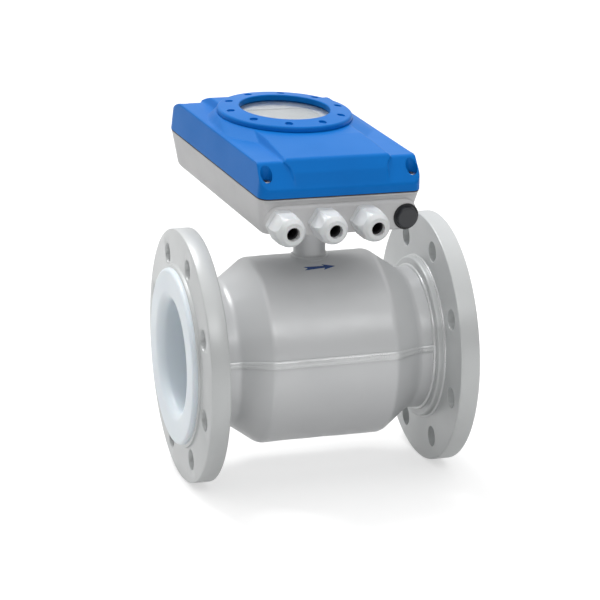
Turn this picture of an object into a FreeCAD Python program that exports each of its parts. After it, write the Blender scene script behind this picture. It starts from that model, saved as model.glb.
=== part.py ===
import FreeCAD, Part
import math
import os

# Electromagnetic flow meter: a flanged DN100 sensor with a display converter on its neck.
# Frame of the part: origin on the pipe axis at mid length, +X is the flow direction,
# +Z is up and -Y is the cable entry side.  All sizes are in millimetres.

V = FreeCAD.Vector
ORIGIN = V(0, 0, 0)
ALONG_X = V(1, 0, 0)
ALONG_Y = V(0, 1, 0)
ALONG_Z = V(0, 0, 1)

# ---------------------------------------------------------------- sensor sizes
meter_length = 250.0          # face to face, over both liner collars
bore_radius = 48.5
liner_wall = 5.0
liner_collar_thick = 4.5
liner_collar_radius = 76.5
liner_edge_radius = 3.0
bore_edge_radius = 4.0
tube_wall = 3.6
flange_radius = 110.0
flange_thick = 17.0
flange_edge_bevel = 1.0
raised_face_radius = 79.0
raised_face_height = 3.0
bolt_circle_radius = 90.0
bolt_hole_radius = 9.0
bolt_count = 8
hub_length = 6.5
hub_radius = 71.0
hub_edge_bevel = 1.5

shell_radius = 81.0
shell_wall = 2.5
shell_neck_radius = 62.5
shell_neck_length = 14.0      # straight neck between the hub and the cone
shell_cone_length = 26.0
shell_crease_radius = 10.0
seam_rise = 1.2
seam_half_angle = 2.2

stub_radius = 14.0            # the neck that carries the converter
stub_wall = 2.5
stub_weld_radius = 16.5
stub_weld_height = 4.5
stub_flange_half = 24.0
stub_flange_thick = 5.0
stub_flange_corner = 6.0
stub_bolt_offset = 17.5
stub_bolt_radius = 2.5
stub_gasket_thick = 1.5
stub_screw_rim = 1.8
stub_screw_head = 4.0
stub_screw_socket = 1.8
stub_screw_socket_depth = 2.0
weld_sink = 2.0               # the weld's foot runs down into the shell by this

pole_half_width = 26.0        # along the pipe
pole_half_angle = 38.0
pole_thick = 4.0
core_radius = 10.0
coil_outer_radius = 24.0
coil_gap = 0.3
coil_height = 9.0
yoke_half_width = 17.0
yoke_thick = 1.8
yoke_shell_gap = 1.5
yoke_window_radius = 7.0      # round windows that clear the electrode nuts
yoke_hole_radius = 6.0
electrode_radius = 2.0
electrode_head_radius = 4.5
electrode_head_thick = 1.6
electrode_recess = 0.3
sleeve_radius = 5.5
sleeve_rise = 5.0
nut_flat_half = 4.0
nut_thick = 3.2
thread_out = 4.0

# ------------------------------------------------------------- converter sizes
head_rise = 156.2             # parting plane of the converter above the pipe axis
head_shift = (-0.9, 5.1)      # origin of the converter from the pipe's middle, along X and Y
head_turn = 6.0               # degrees about the neck
head_tilt = 6.5               # degrees, cable entries lower
head_roll = 1.8               # degrees, downstream side lower
case_width = 148.4
case_front = 80.0             # from the converter's origin to the cable entry end
case_rear = 152.0
case_front_corner = 9.0
case_rear_corner = 18.0
case_wall = 3.5

base_depth = 32.5
base_side_draft = 8.0
base_front_draft = 5.0
base_rear_draft = 7.0
base_rear_round = 26.0
base_lip_height = 7.0
base_lip_set = 4.0
gasket_thick = 1.2
gasket_width = 3.6
gasket_inset = 0.8

shelf_height = 27.0
cover_side_draft = 2.0
cover_lip_height = 7.0
cover_front_round = 4.0
shelf_front_setback = 17.0
shelf_rear_setback = 25.0
shelf_rear_lip = 13.0
shelf_rear_round = 14.0
shelf_crest_round = 30.0
strap_half_width = 43.5
strap_height = 33.0
strap_front_height = 29.0
strap_front_setback = 17.5
strap_rear_setback = 30.0
strap_side_spread = 7.0       # each side of the strap leans out by this down to the shelf
strap_foot_narrow = 4.0       # and narrows again by this down the front slope
strap_foot_tuck = 4.0
strap_lip_tuck = 0.8
shoulder_half_width = 69.0    # foot of the shoulders that run from the disc into the strap
shoulder_front = 10.0
shoulder_length = 26.0
shoulder_lean = 9.0
shoulder_round = 14.0
strap_front_round = 8.0
strap_crest_round = 20.0
disc_radius = 67.0
disc_top_radius = 63.0
disc_depth = 7.0
window_rim = 2.5              # cover left under the seal round the window hole
ring_center = 54.4            # from the converter's origin to the window centre

ring_outer_radius = 59.5
ring_inner_radius = 39.8
ring_inner_height = 39.9
ring_outer_height = 37.7
ring_inner_round = 1.2
ring_outer_round = 2.2
ring_lip_radius = 47.5
ring_dimple_circle = 51.0
ring_dimple_radius = 3.7
ring_dimple_floor = 36.9
ring_dimple_count = 10
ring_skirt_radius = 50.0
ring_skirt_depth = 3.0
glass_radius = 47.0
glass_thick = 4.0
glass_seal_thick = 0.8
window_hole_radius = 43.0
fit_gap = 0.3
cut_over = 1.0                # a cutting tool stands past the part by this

cover_screw_side_inset = 8.1
cover_screw_front_inset = 10.0
cover_screw_rear_inset = 23.0
screw_recess_radius = 5.2
screw_head_radius = 4.3
screw_head_height = 5.0
screw_shank_radius = 2.5
screw_socket_half = 2.0
screw_socket_depth = 2.8
screw_seat = 8.0              # height of the head seat above the parting plane
screw_length = 20.0
post_radius = 7.6

# ----------------------------------------------------------- entries and glands
entry_count = 4
entry_left_inset = 18.8       # from the case side to the first entry axis
entry_right_inset = 15.2
entry_drop = 21.5             # entry axes below the parting plane
pad_radius = 12.0
pad_rounding = 0.98           # share of the pad's half height that its ends are rounded by
pad_plane = 81.0              # from the converter's origin
gland_thread_radius = 10.0
gland_hex_half = 12.0
gland_hex_thick = 5.5
gland_hex_bevel = 0.8
gland_thread_in = 12.0
gland_bore_radius = 8.0
gland_spigot_length = 11.5
dome_hex_half = 12.0
dome_length = 23.0
dome_straight = 12.0
dome_mouth_radius = 10.2
dome_lip_length = 5.0
dome_mouth_hole = 6.4
dome_gap = 0.5
dome_nose_rim = 0.5           # the round nose stands past the flats by this
dome_nose_taper = 1.2
dome_nose_length = 2.5
dome_run_out = 1.5
dome_shoulder_round = 2.0
dome_nose_round = 3.0
dome_front_bevel = 1.0
seal_bore_radius = 5.0
seal_length = 13.0
insert_radius = 9.6
plug_hex_half = 8.7
plug_head_thick = 4.5
plug_seal_thick = 1.0
plug_edge_round = 1.2
plug_front_taper = 1.0
plug_thread_wall = 2.5
plug_washer_rim = 1.4

# ------------------------------------------------------------------ electronics
board_thick = 1.6
board_rise = 8.0              # above the base floor
board_side_gap = 8.5
board_rear_gap = 22.5
main_board_front = 30.0
standoff_radius = 3.0
standoff_inset = 6.0
board_hole_radius = 1.5
board_screw_radius = 2.8
board_screw_height = 2.0
supply_length = 34.0
supply_width = 62.0
supply_height = 15.0
terminal_pitch = 5.0
terminal_count = 10
terminal_shift = -6.0
terminal_depth = 11.0
terminal_height = 12.0
terminal_screw_radius = 1.7
terminal_screw_depth = 2.0
terminal_screw_row = 6.5      # from the entry side of the block
terminal_mouth_half = 1.6
terminal_mouth_depth = 4.0
terminal_mouth_low = 2.0
terminal_mouth_high = 5.5
display_half = 40.0
display_corner = 6.0
display_depth = 5.0
display_drop = 3.2            # body of the display below the window seal
display_face_gap = 0.6        # from the round face to the glass
display_face_side_gap = 1.5
lcd_half_length = 30.0
lcd_half_width = 17.0
lcd_recess = 0.6
lcd_rim = 2.0
lcd_thick = 3.0
harness_radius = 2.5
harness_bend = 9.0
harness_rise = 15.0           # height of the run over the base floor
harness_plug_x = 27.0
harness_plug_width = 12.0
harness_plug_depth = 9.0
harness_plug_height = 9.0
plug_board_inset = 1.0        # plug and terminals from the board's edge
harness_plug_reach = 16.0
carrier_radius = 3.2
carrier_offset = 35.0
carrier_front = 50.0

parts = {}


# ---------------------------------------------------------------- shape helpers
def rounded_wire(points, radii):
    """Closed wire through points, with a tangent arc of the given radius at each corner."""
    spans = []
    count = len(points)
    for index in range(count):
        corner = points[index]
        before = points[index - 1] - corner
        after = points[(index + 1) % count] - corner
        before.normalize()
        after.normalize()
        half = before.getAngle(after) / 2.0
        radius = radii[index]
        if radius <= 0:
            spans.append((corner, None, corner))
            continue
        reach = radius / math.tan(half)
        bisector = before + after
        bisector.normalize()
        depth = radius / math.sin(half) - radius
        spans.append((corner + before * reach, corner + bisector * depth, corner + after * reach))
    edges = []
    for index in range(count):
        start, middle, end = spans[index]
        if middle is not None:
            edges.append(Part.Arc(start, middle, end).toShape())
        following = spans[(index + 1) % count][0]
        edges.append(Part.LineSegment(end, following).toShape())
    return Part.Wire(edges)


def prism(points, radii, direction):
    """Solid swept from a rounded outline along a straight direction."""
    return Part.Face(rounded_wire(points, radii)).extrude(direction)


def turned(profile, radii=None, axis=ALONG_X, angle=360.0):
    """Solid of revolution: profile points are (along the axis, radius)."""
    if axis == ALONG_X:
        points = [V(along, 0, radius) for along, radius in profile]
    else:
        points = [V(radius, 0, along) for along, radius in profile]
    wire = rounded_wire(points, radii or [0] * len(points))
    return Part.Face(wire).revolve(ORIGIN, axis, angle)


def rod(radius, start, direction, length):
    return Part.makeCylinder(radius, length, start, direction)


def pipe(outer, inner, start, direction, length):
    return rod(outer, start, direction, length).cut(rod(inner, start, direction, length))


def slab(x0, x1, y0, y1, z0, z1):
    return Part.makeBox(x1 - x0, y1 - y0, z1 - z0, V(x0, y0, z0))


def hexagon(half_flat, start, direction, length, phase=0.0):
    """Hexagonal bar; half_flat is half the width over the flats."""
    corner = half_flat / math.cos(math.radians(30))
    turn = FreeCAD.Rotation(ALONG_Z, direction)
    points = []
    for index in range(6):
        angle = math.radians(60 * index + phase)
        flat = V(corner * math.cos(angle), corner * math.sin(angle), 0)
        points.append(start + turn.multVec(flat))
    return Part.Face(Part.makePolygon(points + [points[0]])).extrude(direction * length)


def fused(shapes):
    whole = shapes[0]
    for shape in shapes[1:]:
        whole = whole.fuse(shape)
    return whole.removeSplitter()


def mirrored_x(shape):
    return shape.mirror(ORIGIN, ALONG_X)


# ----------------------------------------------------------------------- sensor
face_x = meter_length / 2.0
raised_x = face_x - liner_collar_thick
plate_outer_x = raised_x - raised_face_height
plate_inner_x = plate_outer_x - flange_thick
hub_x = plate_inner_x - hub_length
liner_radius = bore_radius + liner_wall
tube_radius = liner_radius + tube_wall
shell_inner_radius = shell_radius - shell_wall
shell_cone_end = hub_x - shell_neck_length
shell_half_straight = shell_cone_end - shell_cone_length


def liner():
    profile = [(-face_x, bore_radius), (-face_x, liner_collar_radius),
               (-raised_x, liner_collar_radius), (-raised_x, liner_radius),
               (raised_x, liner_radius), (raised_x, liner_collar_radius),
               (face_x, liner_collar_radius), (face_x, bore_radius)]
    radii = [bore_edge_radius, liner_edge_radius, 0, 0, 0, 0, liner_edge_radius, bore_edge_radius]
    body = turned(profile, radii)
    for side in (-1, 1):
        hole = rod(electrode_radius, ORIGIN, V(0, side, 0), tube_radius)
        pocket = rod(electrode_head_radius, ORIGIN, V(0, side, 0),
                     bore_radius + electrode_recess + electrode_head_thick)
        body = body.cut(hole).cut(pocket)
    return body


def measuring_tube():
    body = pipe(tube_radius, liner_radius, V(-raised_x, 0, 0), ALONG_X, 2 * raised_x)
    for side in (-1, 1):
        body = body.cut(rod(sleeve_radius, ORIGIN, V(0, side, 0), tube_radius + cut_over))
    return body


def bolt_holes(x0, length):
    holes = []
    step = 360.0 / bolt_count
    for index in range(bolt_count):
        angle = math.radians(step * (index + 0.5))
        center = V(x0, bolt_circle_radius * math.cos(angle), bolt_circle_radius * math.sin(angle))
        holes.append(rod(bolt_hole_radius, center, ALONG_X, length))
    return Part.makeCompound(holes)


def outlet_flange():
    bevel = flange_edge_bevel
    profile = [(hub_x, tube_radius), (hub_x, hub_radius - hub_edge_bevel),
               (hub_x + hub_edge_bevel, hub_radius), (plate_inner_x, hub_radius),
               (plate_inner_x, flange_radius - bevel), (plate_inner_x + bevel, flange_radius),
               (plate_outer_x - bevel, flange_radius), (plate_outer_x, flange_radius - bevel),
               (plate_outer_x, raised_face_radius), (raised_x, raised_face_radius),
               (raised_x, tube_radius)]
    return turned(profile).cut(bolt_holes(plate_inner_x, flange_thick))


def shell_profile(offset):
    """Outline of the pressed housing from flange to flange, moved out by offset."""
    slope = math.atan2(shell_radius - shell_neck_radius, shell_cone_end - shell_half_straight)
    shift = offset * math.tan(slope / 2.0)
    crease = shell_half_straight + shift
    neck = shell_cone_end + shift
    neck_radius = shell_neck_radius + offset
    radius = shell_radius + offset
    points = [(-hub_x, neck_radius), (-neck, neck_radius), (-crease, radius),
              (crease, radius), (neck, neck_radius), (hub_x, neck_radius)]
    radii = [0, shell_crease_radius - offset, shell_crease_radius + offset,
             shell_crease_radius + offset, shell_crease_radius - offset, 0]
    return points, radii


def between(outer_offset, inner_offset, angle=360.0):
    outer, outer_radii = shell_profile(outer_offset)
    inner, inner_radii = shell_profile(inner_offset)
    return turned(outer + inner[::-1], outer_radii + inner_radii[::-1], ALONG_X, angle)


def housing_halves():
    whole = between(0.0, -shell_wall)
    reach = shell_radius + cut_over
    opening = rod(stub_radius, ORIGIN, ALONG_Z, reach)
    upper = whole.common(slab(-hub_x, hub_x, -reach, reach, 0, reach)).cut(opening)
    lower = whole.common(slab(-hub_x, hub_x, -reach, reach, -reach, 0))
    return upper, lower


def seam_weld(side):
    """Raised weld band along the joint of the two half shells, on the -Y or +Y side."""
    band = between(seam_rise, 0.0, 2 * seam_half_angle)
    band.rotate(ORIGIN, ALONG_X, 90 * -side - seam_half_angle)
    return band


def pole_shoe():
    """Curved plate on the tube with the core that carries the coil, upper one."""
    plate = turned([(-pole_half_width, tube_radius), (-pole_half_width, tube_radius + pole_thick),
                    (pole_half_width, tube_radius + pole_thick), (pole_half_width, tube_radius)],
                   None, ALONG_X, 2 * pole_half_angle)
    plate.rotate(ORIGIN, ALONG_X, -pole_half_angle)
    core = rod(core_radius, V(0, 0, tube_radius + pole_thick / 2.0), ALONG_Z,
               yoke_inner_radius - tube_radius - pole_thick / 2.0)
    core = core.common(rod(yoke_inner_radius, V(-core_radius, 0, 0), ALONG_X, 2 * core_radius))
    return fused([plate, core])


yoke_outer_radius = shell_inner_radius - yoke_shell_gap
yoke_inner_radius = yoke_outer_radius - yoke_thick
coil_base = tube_radius + pole_thick + coil_gap


def field_coil():
    """Round coil on the upper core, seated on the crown of the pole shoe."""
    coil = pipe(coil_outer_radius, core_radius + coil_gap, V(0, 0, coil_base), ALONG_Z, coil_height)
    limit = rod(yoke_inner_radius - coil_gap, V(-coil_outer_radius, 0, 0), ALONG_X,
                2 * coil_outer_radius)
    return coil.common(limit)


def magnetic_yoke():
    ring = pipe(yoke_outer_radius, yoke_inner_radius, V(-yoke_half_width, 0, 0), ALONG_X,
                2 * yoke_half_width)
    lead_hole = rod(yoke_hole_radius, ORIGIN, ALONG_Z, shell_radius)
    windows = rod(yoke_window_radius, V(0, -shell_radius, 0), ALONG_Y, 2 * shell_radius)
    return ring.cut(lead_hole).cut(windows)


def electrode(side):
    out = V(0, side, 0)
    head_from = bore_radius + electrode_recess
    shank_end = sleeve_end + nut_thick + thread_out
    head = rod(electrode_head_radius, V(0, side * head_from, 0), out, electrode_head_thick)
    shank = rod(electrode_radius, V(0, side * head_from, 0), out, shank_end - head_from)
    return fused([head, shank])


sleeve_end = tube_radius + sleeve_rise


def electrode_sleeve(side):
    return pipe(sleeve_radius, electrode_radius, V(0, side * liner_radius, 0), V(0, side, 0),
                sleeve_end - liner_radius)


def electrode_nut(side):
    out = V(0, side, 0)
    start = V(0, side * sleeve_end, 0)
    return hexagon(nut_flat_half, start, out, nut_thick).cut(rod(electrode_radius, start, out, nut_thick))


# -------------------------------------------------- the converter's own frame
# Inside this frame x is across, y runs from the cable entries to the rear, and z = 0
# is the parting plane between base and cover.
head_lean = FreeCAD.Rotation(ALONG_X, head_tilt).multiply(FreeCAD.Rotation(ALONG_Y, head_roll))
head_rotation = FreeCAD.Rotation(ALONG_Z, head_turn).multiply(head_lean)
HEAD = FreeCAD.Placement(V(*head_shift, head_rise), head_rotation)
OUT_OF_HEAD = HEAD.inverse()


def neck_point(z):
    """Where the axis of the neck crosses the height z of the converter's frame."""
    start = OUT_OF_HEAD.multVec(ORIGIN)
    way = OUT_OF_HEAD.multVec(ALONG_Z) - start
    return start + way * ((z - start.z) / way.z)



half_width = case_width / 2.0
neck = neck_point(-base_depth - stub_gasket_thick)
base_top = -gasket_thick
base_floor = -base_depth + case_wall
entry_pitch = (case_width - entry_left_inset - entry_right_inset) / (entry_count - 1)
entry_x = [entry_left_inset - half_width + entry_pitch * index for index in range(entry_count)]
cover_screw_x = half_width - cover_screw_side_inset
cover_screw_y = (cover_screw_front_inset - case_front, case_rear - cover_screw_rear_inset)
main_board_half = half_width - case_wall - base_side_draft - board_side_gap
pad_y = -pad_plane


def seated(shape):
    """Moves a shape from the converter's frame to its place on the meter."""
    moved = shape.copy()
    moved.Placement = HEAD.multiply(moved.Placement)
    return moved


def plan_outline(z, side, front, rear, front_corner, rear_corner):
    """Rounded rectangle at height z, drawn in by side, front and rear."""
    half = half_width - side
    y0 = -case_front + front
    y1 = case_rear - rear
    points = [V(-half, y0, z), V(half, y0, z), V(half, y1, z), V(-half, y1, z)]
    radii = [front_corner, front_corner, rear_corner, rear_corner]
    return rounded_wire(points, radii)


def side_prism(points, radii, half=half_width + cut_over):
    """Solid swept across the case from an outline in the y-z plane."""
    outline = [V(-half, y, z) for y, z in points]
    return prism(outline, radii, V(2 * half, 0, 0))


def base_block(inset, top, floor):
    """Drafted body of the base, moved in by inset on every wall."""
    front_corner = case_front_corner - inset / 2.0
    rear_corner = case_rear_corner - inset / 2.0
    upper = plan_outline(base_top, inset, inset, inset, front_corner, rear_corner)
    lower = plan_outline(-base_depth, base_side_draft + inset, base_front_draft + inset,
                         base_rear_draft + inset, front_corner, rear_corner)
    body = Part.makeLoft([upper, lower], True, True)
    front = -case_front - cut_over
    rear = case_rear - inset
    side = side_prism([(front, top), (front, floor), (rear, floor), (rear, top)],
                      [0, 0, base_rear_round - inset, 0])
    return body.common(side)


def slot_pad(y0, y1, radius):
    """Slot-shaped boss that carries the four entries."""
    points = [V(entry_x[0] - radius, y0, -entry_drop - radius),
              V(entry_x[-1] + radius, y0, -entry_drop - radius),
              V(entry_x[-1] + radius, y0, -entry_drop + radius),
              V(entry_x[0] - radius, y0, -entry_drop + radius)]
    corner = radius * pad_rounding
    return prism(points, [corner] * 4, V(0, y1 - y0, 0))


def posts(radius, z0, z1):
    columns = []
    for x in (-cover_screw_x, cover_screw_x):
        for y in cover_screw_y:
            columns.append(rod(radius, V(x, y, z0), ALONG_Z, z1 - z0))
    return columns


def below_lip(y1, top):
    """Room under the front lip, where the wall of the base stands back to y1."""
    side = half_width + cut_over
    return slab(-side, side, -case_front - cut_over, y1, -base_depth - cut_over, top)


def converter_base():
    outer = base_block(0.0, base_top, -base_depth)
    lip_floor = base_top - base_lip_height
    set_back = -case_front + base_lip_set
    skin = outer.cut(below_lip(set_back, lip_floor))
    pad = slot_pad(pad_y, set_back + case_wall, pad_radius).common(
        slab(-half_width, half_width, pad_y, 0, -base_depth, base_top))
    cavity = base_block(case_wall, base_top + cut_over, base_floor)
    cavity = cavity.cut(below_lip(set_back + case_wall + base_front_draft, lip_floor + case_wall))
    solid_posts = [post.common(outer) for post in posts(post_radius, -base_depth, base_top)]
    body = fused([skin.cut(cavity), pad] + solid_posts)
    for hole in posts(screw_shank_radius + fit_gap, screw_seat - screw_length - cut_over, base_top):
        body = body.cut(hole)
    for x in entry_x:
        body = body.cut(rod(gland_thread_radius, V(x, pad_y, -entry_drop), ALONG_Y, entry_depth))
    return body.cut(stub_openings()).removeSplitter()


entry_depth = pad_plane - case_front + base_lip_set + base_front_draft + 2 * case_wall


def stub_openings():
    """Hole for the wires and the four screw holes over the neck, in the base floor."""
    depth = case_wall + 2 * cut_over
    start = V(0, 0, -cut_over)
    cuts = [rod(stub_radius - stub_wall, V(neck.x, neck.y, -base_depth) + start, ALONG_Z, depth)]
    for center in stub_bolts():
        cuts.append(rod(stub_bolt_radius, center + start, ALONG_Z, depth))
    return Part.makeCompound(cuts)


def stub_bolts():
    return [V(neck.x + x, neck.y + y, -base_depth) for x in (-stub_bolt_offset, stub_bolt_offset)
            for y in (-stub_bolt_offset, stub_bolt_offset)]


def stub_plate(z0, thick):
    half = stub_flange_half
    center = V(neck.x, neck.y, z0)
    points = [center + V(x, y, 0) for x, y in ((-half, -half), (half, -half), (half, half), (-half, half))]
    plate = prism(points, [stub_flange_corner] * 4, V(0, 0, thick))
    for bolt in stub_bolts():
        start = V(bolt.x, bolt.y, z0 - cut_over)
        hole = rod(stub_bolt_radius, start, ALONG_Z, thick + 2 * cut_over)
        plate = plate.cut(hole)
    return plate


def sensor_neck():
    """Pipe stub on the upper shell, its fillet weld and its tilted top plate."""
    top = head_rise - base_depth
    plate_z = -base_depth - stub_gasket_thick - stub_flange_thick
    plate = seated(stub_plate(plate_z, stub_flange_thick))
    reach = shell_radius
    below_plate = seated(slab(-reach, reach, -reach, reach, -head_rise, plate_z + cut_over))
    column = rod(stub_radius, V(0, 0, shell_inner_radius), ALONG_Z, top - shell_inner_radius)
    column = column.common(below_plate)
    weld = Part.makeCone(stub_weld_radius + weld_sink, stub_radius, stub_weld_height + weld_sink,
                         V(0, 0, shell_radius - weld_sink), ALONG_Z)
    weld = weld.cut(rod(shell_radius, V(-hub_x, 0, 0), ALONG_X, 2 * hub_x))
    body = fused([column, weld, plate])
    return body.cut(rod(stub_radius - stub_wall, ORIGIN, ALONG_Z, head_rise))


def stub_gasket():
    plate = stub_plate(-base_depth - stub_gasket_thick, stub_gasket_thick)
    start = V(neck.x, neck.y, -base_depth - 2 * stub_gasket_thick)
    bore = rod(stub_radius - stub_wall, start, ALONG_Z, 3 * stub_gasket_thick)
    return plate.cut(bore)


def stub_screws():
    """Four screws that hold the base on the neck, heads inside the base."""
    screws = []
    for center in stub_bolts():
        seat = V(center.x, center.y, base_floor)
        bottom = V(center.x, center.y, -base_depth - stub_gasket_thick - stub_flange_thick)
        head = rod(stub_bolt_radius + stub_screw_rim, seat, ALONG_Z, stub_screw_head)
        shank = rod(stub_bolt_radius, bottom, ALONG_Z, seat.z - bottom.z)
        socket = hexagon(stub_screw_socket, seat + ALONG_Z * (stub_screw_head - stub_screw_socket_depth),
                         ALONG_Z, stub_screw_socket_depth)
        screws.append(fused([head, shank]).cut(socket))
    return Part.makeCompound(screws)


# ------------------------------------------------------------------------ cover
def cover_block(inset, height):
    """Shelf body of the cover: drafted plan cut by the sloped front and rounded rear."""
    front_corner = case_front_corner - inset / 2.0
    rear_corner = case_rear_corner - inset / 2.0
    lower = plan_outline(0.0, inset, inset, inset, front_corner, rear_corner)
    upper = plan_outline(shelf_height, cover_side_draft + inset, inset, inset,
                         front_corner, rear_corner)
    body = Part.makeLoft([lower, upper], True, True)
    y0 = -case_front + inset
    y1 = case_rear - inset
    below = -cut_over
    side = side_prism([(y0, below), (y1, below), (y1, shelf_rear_lip), (y1 - shelf_rear_setback, height),
                       (y0 + shelf_front_setback, height), (y0, cover_lip_height)],
                      [0, 0, shelf_rear_round - inset, shelf_crest_round - inset, cover_front_round,
                       cover_front_round])
    return body.common(side)


def strap_block(inset):
    """Raised band over the middle of the cover, with sides that lean out to the shelf."""
    y0 = -case_front + inset
    y1 = case_rear - inset
    crest = strap_height - inset
    below = -cut_over
    ring_front = ring_center - disc_radius
    points = [(y0 + strap_foot_tuck, below), (y1, below), (y1, shelf_rear_lip),
              (y1 - strap_rear_setback, crest), (ring_front, crest),
              (y0 + strap_front_setback, strap_front_height - inset),
              (y0 + strap_lip_tuck, cover_lip_height)]
    radii = [0, 0, shelf_rear_round - inset, shelf_crest_round - inset, strap_crest_round,
             strap_front_round, 0]
    return side_prism(points, radii).common(strap_section(strap_half_width - inset, y0, y1, crest))


def strap_section(half, y0, y1, crest):
    """Long bar with the strap's cross-section: sides that lean out to a foot on the shelf."""
    foot = half + strap_side_spread
    low = half - strap_foot_narrow
    knee = shelf_height - strap_height + crest
    points = [V(-low, y0, -cut_over), V(low, y0, -cut_over), V(half, y0, knee - strap_foot_narrow),
              V(foot, y0, knee), V(half, y0, crest), V(-half, y0, crest), V(-foot, y0, knee),
              V(-half, y0, knee - strap_foot_narrow)]
    return prism(points, [0] * len(points), V(0, y1 - y0, 0))


def shoulder_block(inset):
    """Leaning shoulders where the disc runs out into the strap, towards the cable entries."""
    y0 = shoulder_front - shoulder_length
    bottom = strap_height - disc_depth - inset
    sections = []
    for lean, z in ((0.0, bottom), (shoulder_lean, strap_height - inset)):
        wide = shoulder_half_width - inset - lean
        narrow = strap_half_width - inset + (strap_side_spread if z == bottom else 0.0)
        points = [V(-wide, ring_center, z), V(-wide, shoulder_front + lean, z), V(-narrow, y0 + lean, z),
                  V(narrow, y0 + lean, z), V(wide, shoulder_front + lean, z), V(wide, ring_center, z)]
        sections.append(rounded_wire(points, [0, shoulder_round, 0, 0, shoulder_round, 0]))
    return Part.makeLoft(sections, True, True)


def disc_block(inset, z0, z1):
    return Part.makeCone(disc_radius - inset, disc_top_radius - inset, z1 - z0,
                         V(0, ring_center, z0), ALONG_Z)


seal_z = strap_height - ring_skirt_depth
glass_z = seal_z + glass_seal_thick
glass_top = glass_z + glass_thick


def converter_cover():
    outer = fused([cover_block(0.0, shelf_height),
                   strap_block(0.0).common(cover_plan(0.0)),
                   disc_block(0.0, strap_height - disc_depth, strap_height), shoulder_block(0.0)])
    inner = fused([cover_block(case_wall, shelf_height - case_wall),
                   strap_block(case_wall).common(cover_plan(case_wall)),
                   disc_block(case_wall, strap_height - disc_depth - case_wall, seal_z - window_rim),
                   shoulder_block(case_wall).common(strap_block(case_wall - strap_side_spread))])
    shell = outer.cut(inner)
    columns = [post.common(outer) for post in posts(post_radius, 0.0, shelf_height)]
    body = fused([shell] + columns)
    center = V(0, ring_center, 0)
    body = body.cut(rod(ring_skirt_radius + fit_gap, center + ALONG_Z * seal_z, ALONG_Z, strap_height))
    body = body.cut(rod(window_hole_radius, center, ALONG_Z, strap_height + cut_over))
    for recess in posts(screw_recess_radius, screw_seat, strap_height):
        body = body.cut(recess)
    for hole in posts(screw_shank_radius + fit_gap, -cut_over, strap_height):
        body = body.cut(hole)
    return body


def cover_plan(inset):
    outline = plan_outline(0.0, inset, inset, inset, case_front_corner - inset / 2.0,
                           case_rear_corner - inset / 2.0)
    return Part.Face(outline).extrude(ALONG_Z * (strap_height + cut_over))


def cover_gasket():
    outer = plan_outline(base_top, gasket_inset, gasket_inset, gasket_inset,
                         case_front_corner - gasket_inset, case_rear_corner - gasket_inset)
    depth = gasket_inset + gasket_width
    inner = plan_outline(base_top, depth, depth, depth, case_front_corner - depth / 2.0,
                         case_rear_corner - depth / 2.0)
    ring = Part.Face(outer).extrude(V(0, 0, gasket_thick)).cut(
        Part.Face(inner).extrude(V(0, 0, gasket_thick)))
    for hole in posts(screw_shank_radius + fit_gap, base_top - cut_over, cut_over):
        ring = ring.cut(hole)
    return ring


def window_ring():
    """Dished ring with blind dimples, and a skirt that holds the glass on its seal."""
    profile = [(glass_top, ring_inner_radius), (ring_inner_height, ring_inner_radius),
               (ring_outer_height, ring_outer_radius), (strap_height, ring_outer_radius),
               (strap_height, ring_skirt_radius), (seal_z, ring_skirt_radius),
               (seal_z, ring_lip_radius), (glass_top, ring_lip_radius)]
    radii = [0, ring_inner_round, ring_outer_round, 0, 0, 0, 0, 0]
    ring = turned(profile, radii, ALONG_Z)
    step = 360.0 / ring_dimple_count
    for index in range(ring_dimple_count):
        angle = math.radians(step * index)
        center = V(ring_dimple_circle * math.cos(angle), ring_dimple_circle * math.sin(angle),
                   ring_dimple_floor)
        ring = ring.cut(rod(ring_dimple_radius, center, ALONG_Z, ring_inner_height - ring_dimple_floor))
    ring.translate(V(0, ring_center, 0))
    return ring


def window_glass():
    return rod(glass_radius, V(0, ring_center, glass_z), ALONG_Z, glass_thick)


def window_seal():
    return pipe(glass_radius, window_hole_radius, V(0, ring_center, seal_z), ALONG_Z,
                glass_seal_thick)


def cover_screws():
    screws = []
    for x in (-cover_screw_x, cover_screw_x):
        for y in cover_screw_y:
            head = rod(screw_head_radius, V(x, y, screw_seat), ALONG_Z, screw_head_height)
            shank = rod(screw_shank_radius, V(x, y, screw_seat - screw_length), ALONG_Z, screw_length)
            socket = hexagon(screw_socket_half, V(x, y, screw_seat + screw_head_height
                             - screw_socket_depth), ALONG_Z, screw_socket_depth)
            screws.append(fused([head, shank]).cut(socket))
    return Part.makeCompound(screws)


# ----------------------------------------------------------------------- glands
INTO_CASE = V(0, 1, 0)
OUT_OF_CASE = V(0, -1, 0)
hex_front = pad_y - gland_hex_thick
dome_back = hex_front - dome_gap
dome_front = dome_back - dome_length


def gland_body(x):
    axis_point = V(x, pad_y, -entry_drop)
    flange = hexagon(gland_hex_half, axis_point, OUT_OF_CASE, gland_hex_thick, 30)
    stub_inner = rod(gland_thread_radius, axis_point, INTO_CASE, gland_thread_in)
    spigot = rod(insert_radius, axis_point, OUT_OF_CASE, gland_hex_thick + gland_spigot_length)
    body = fused([flange, stub_inner, spigot])
    through = rod(gland_bore_radius, V(x, dome_front, -entry_drop), INTO_CASE, case_front)
    return body.cut(through)


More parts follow.
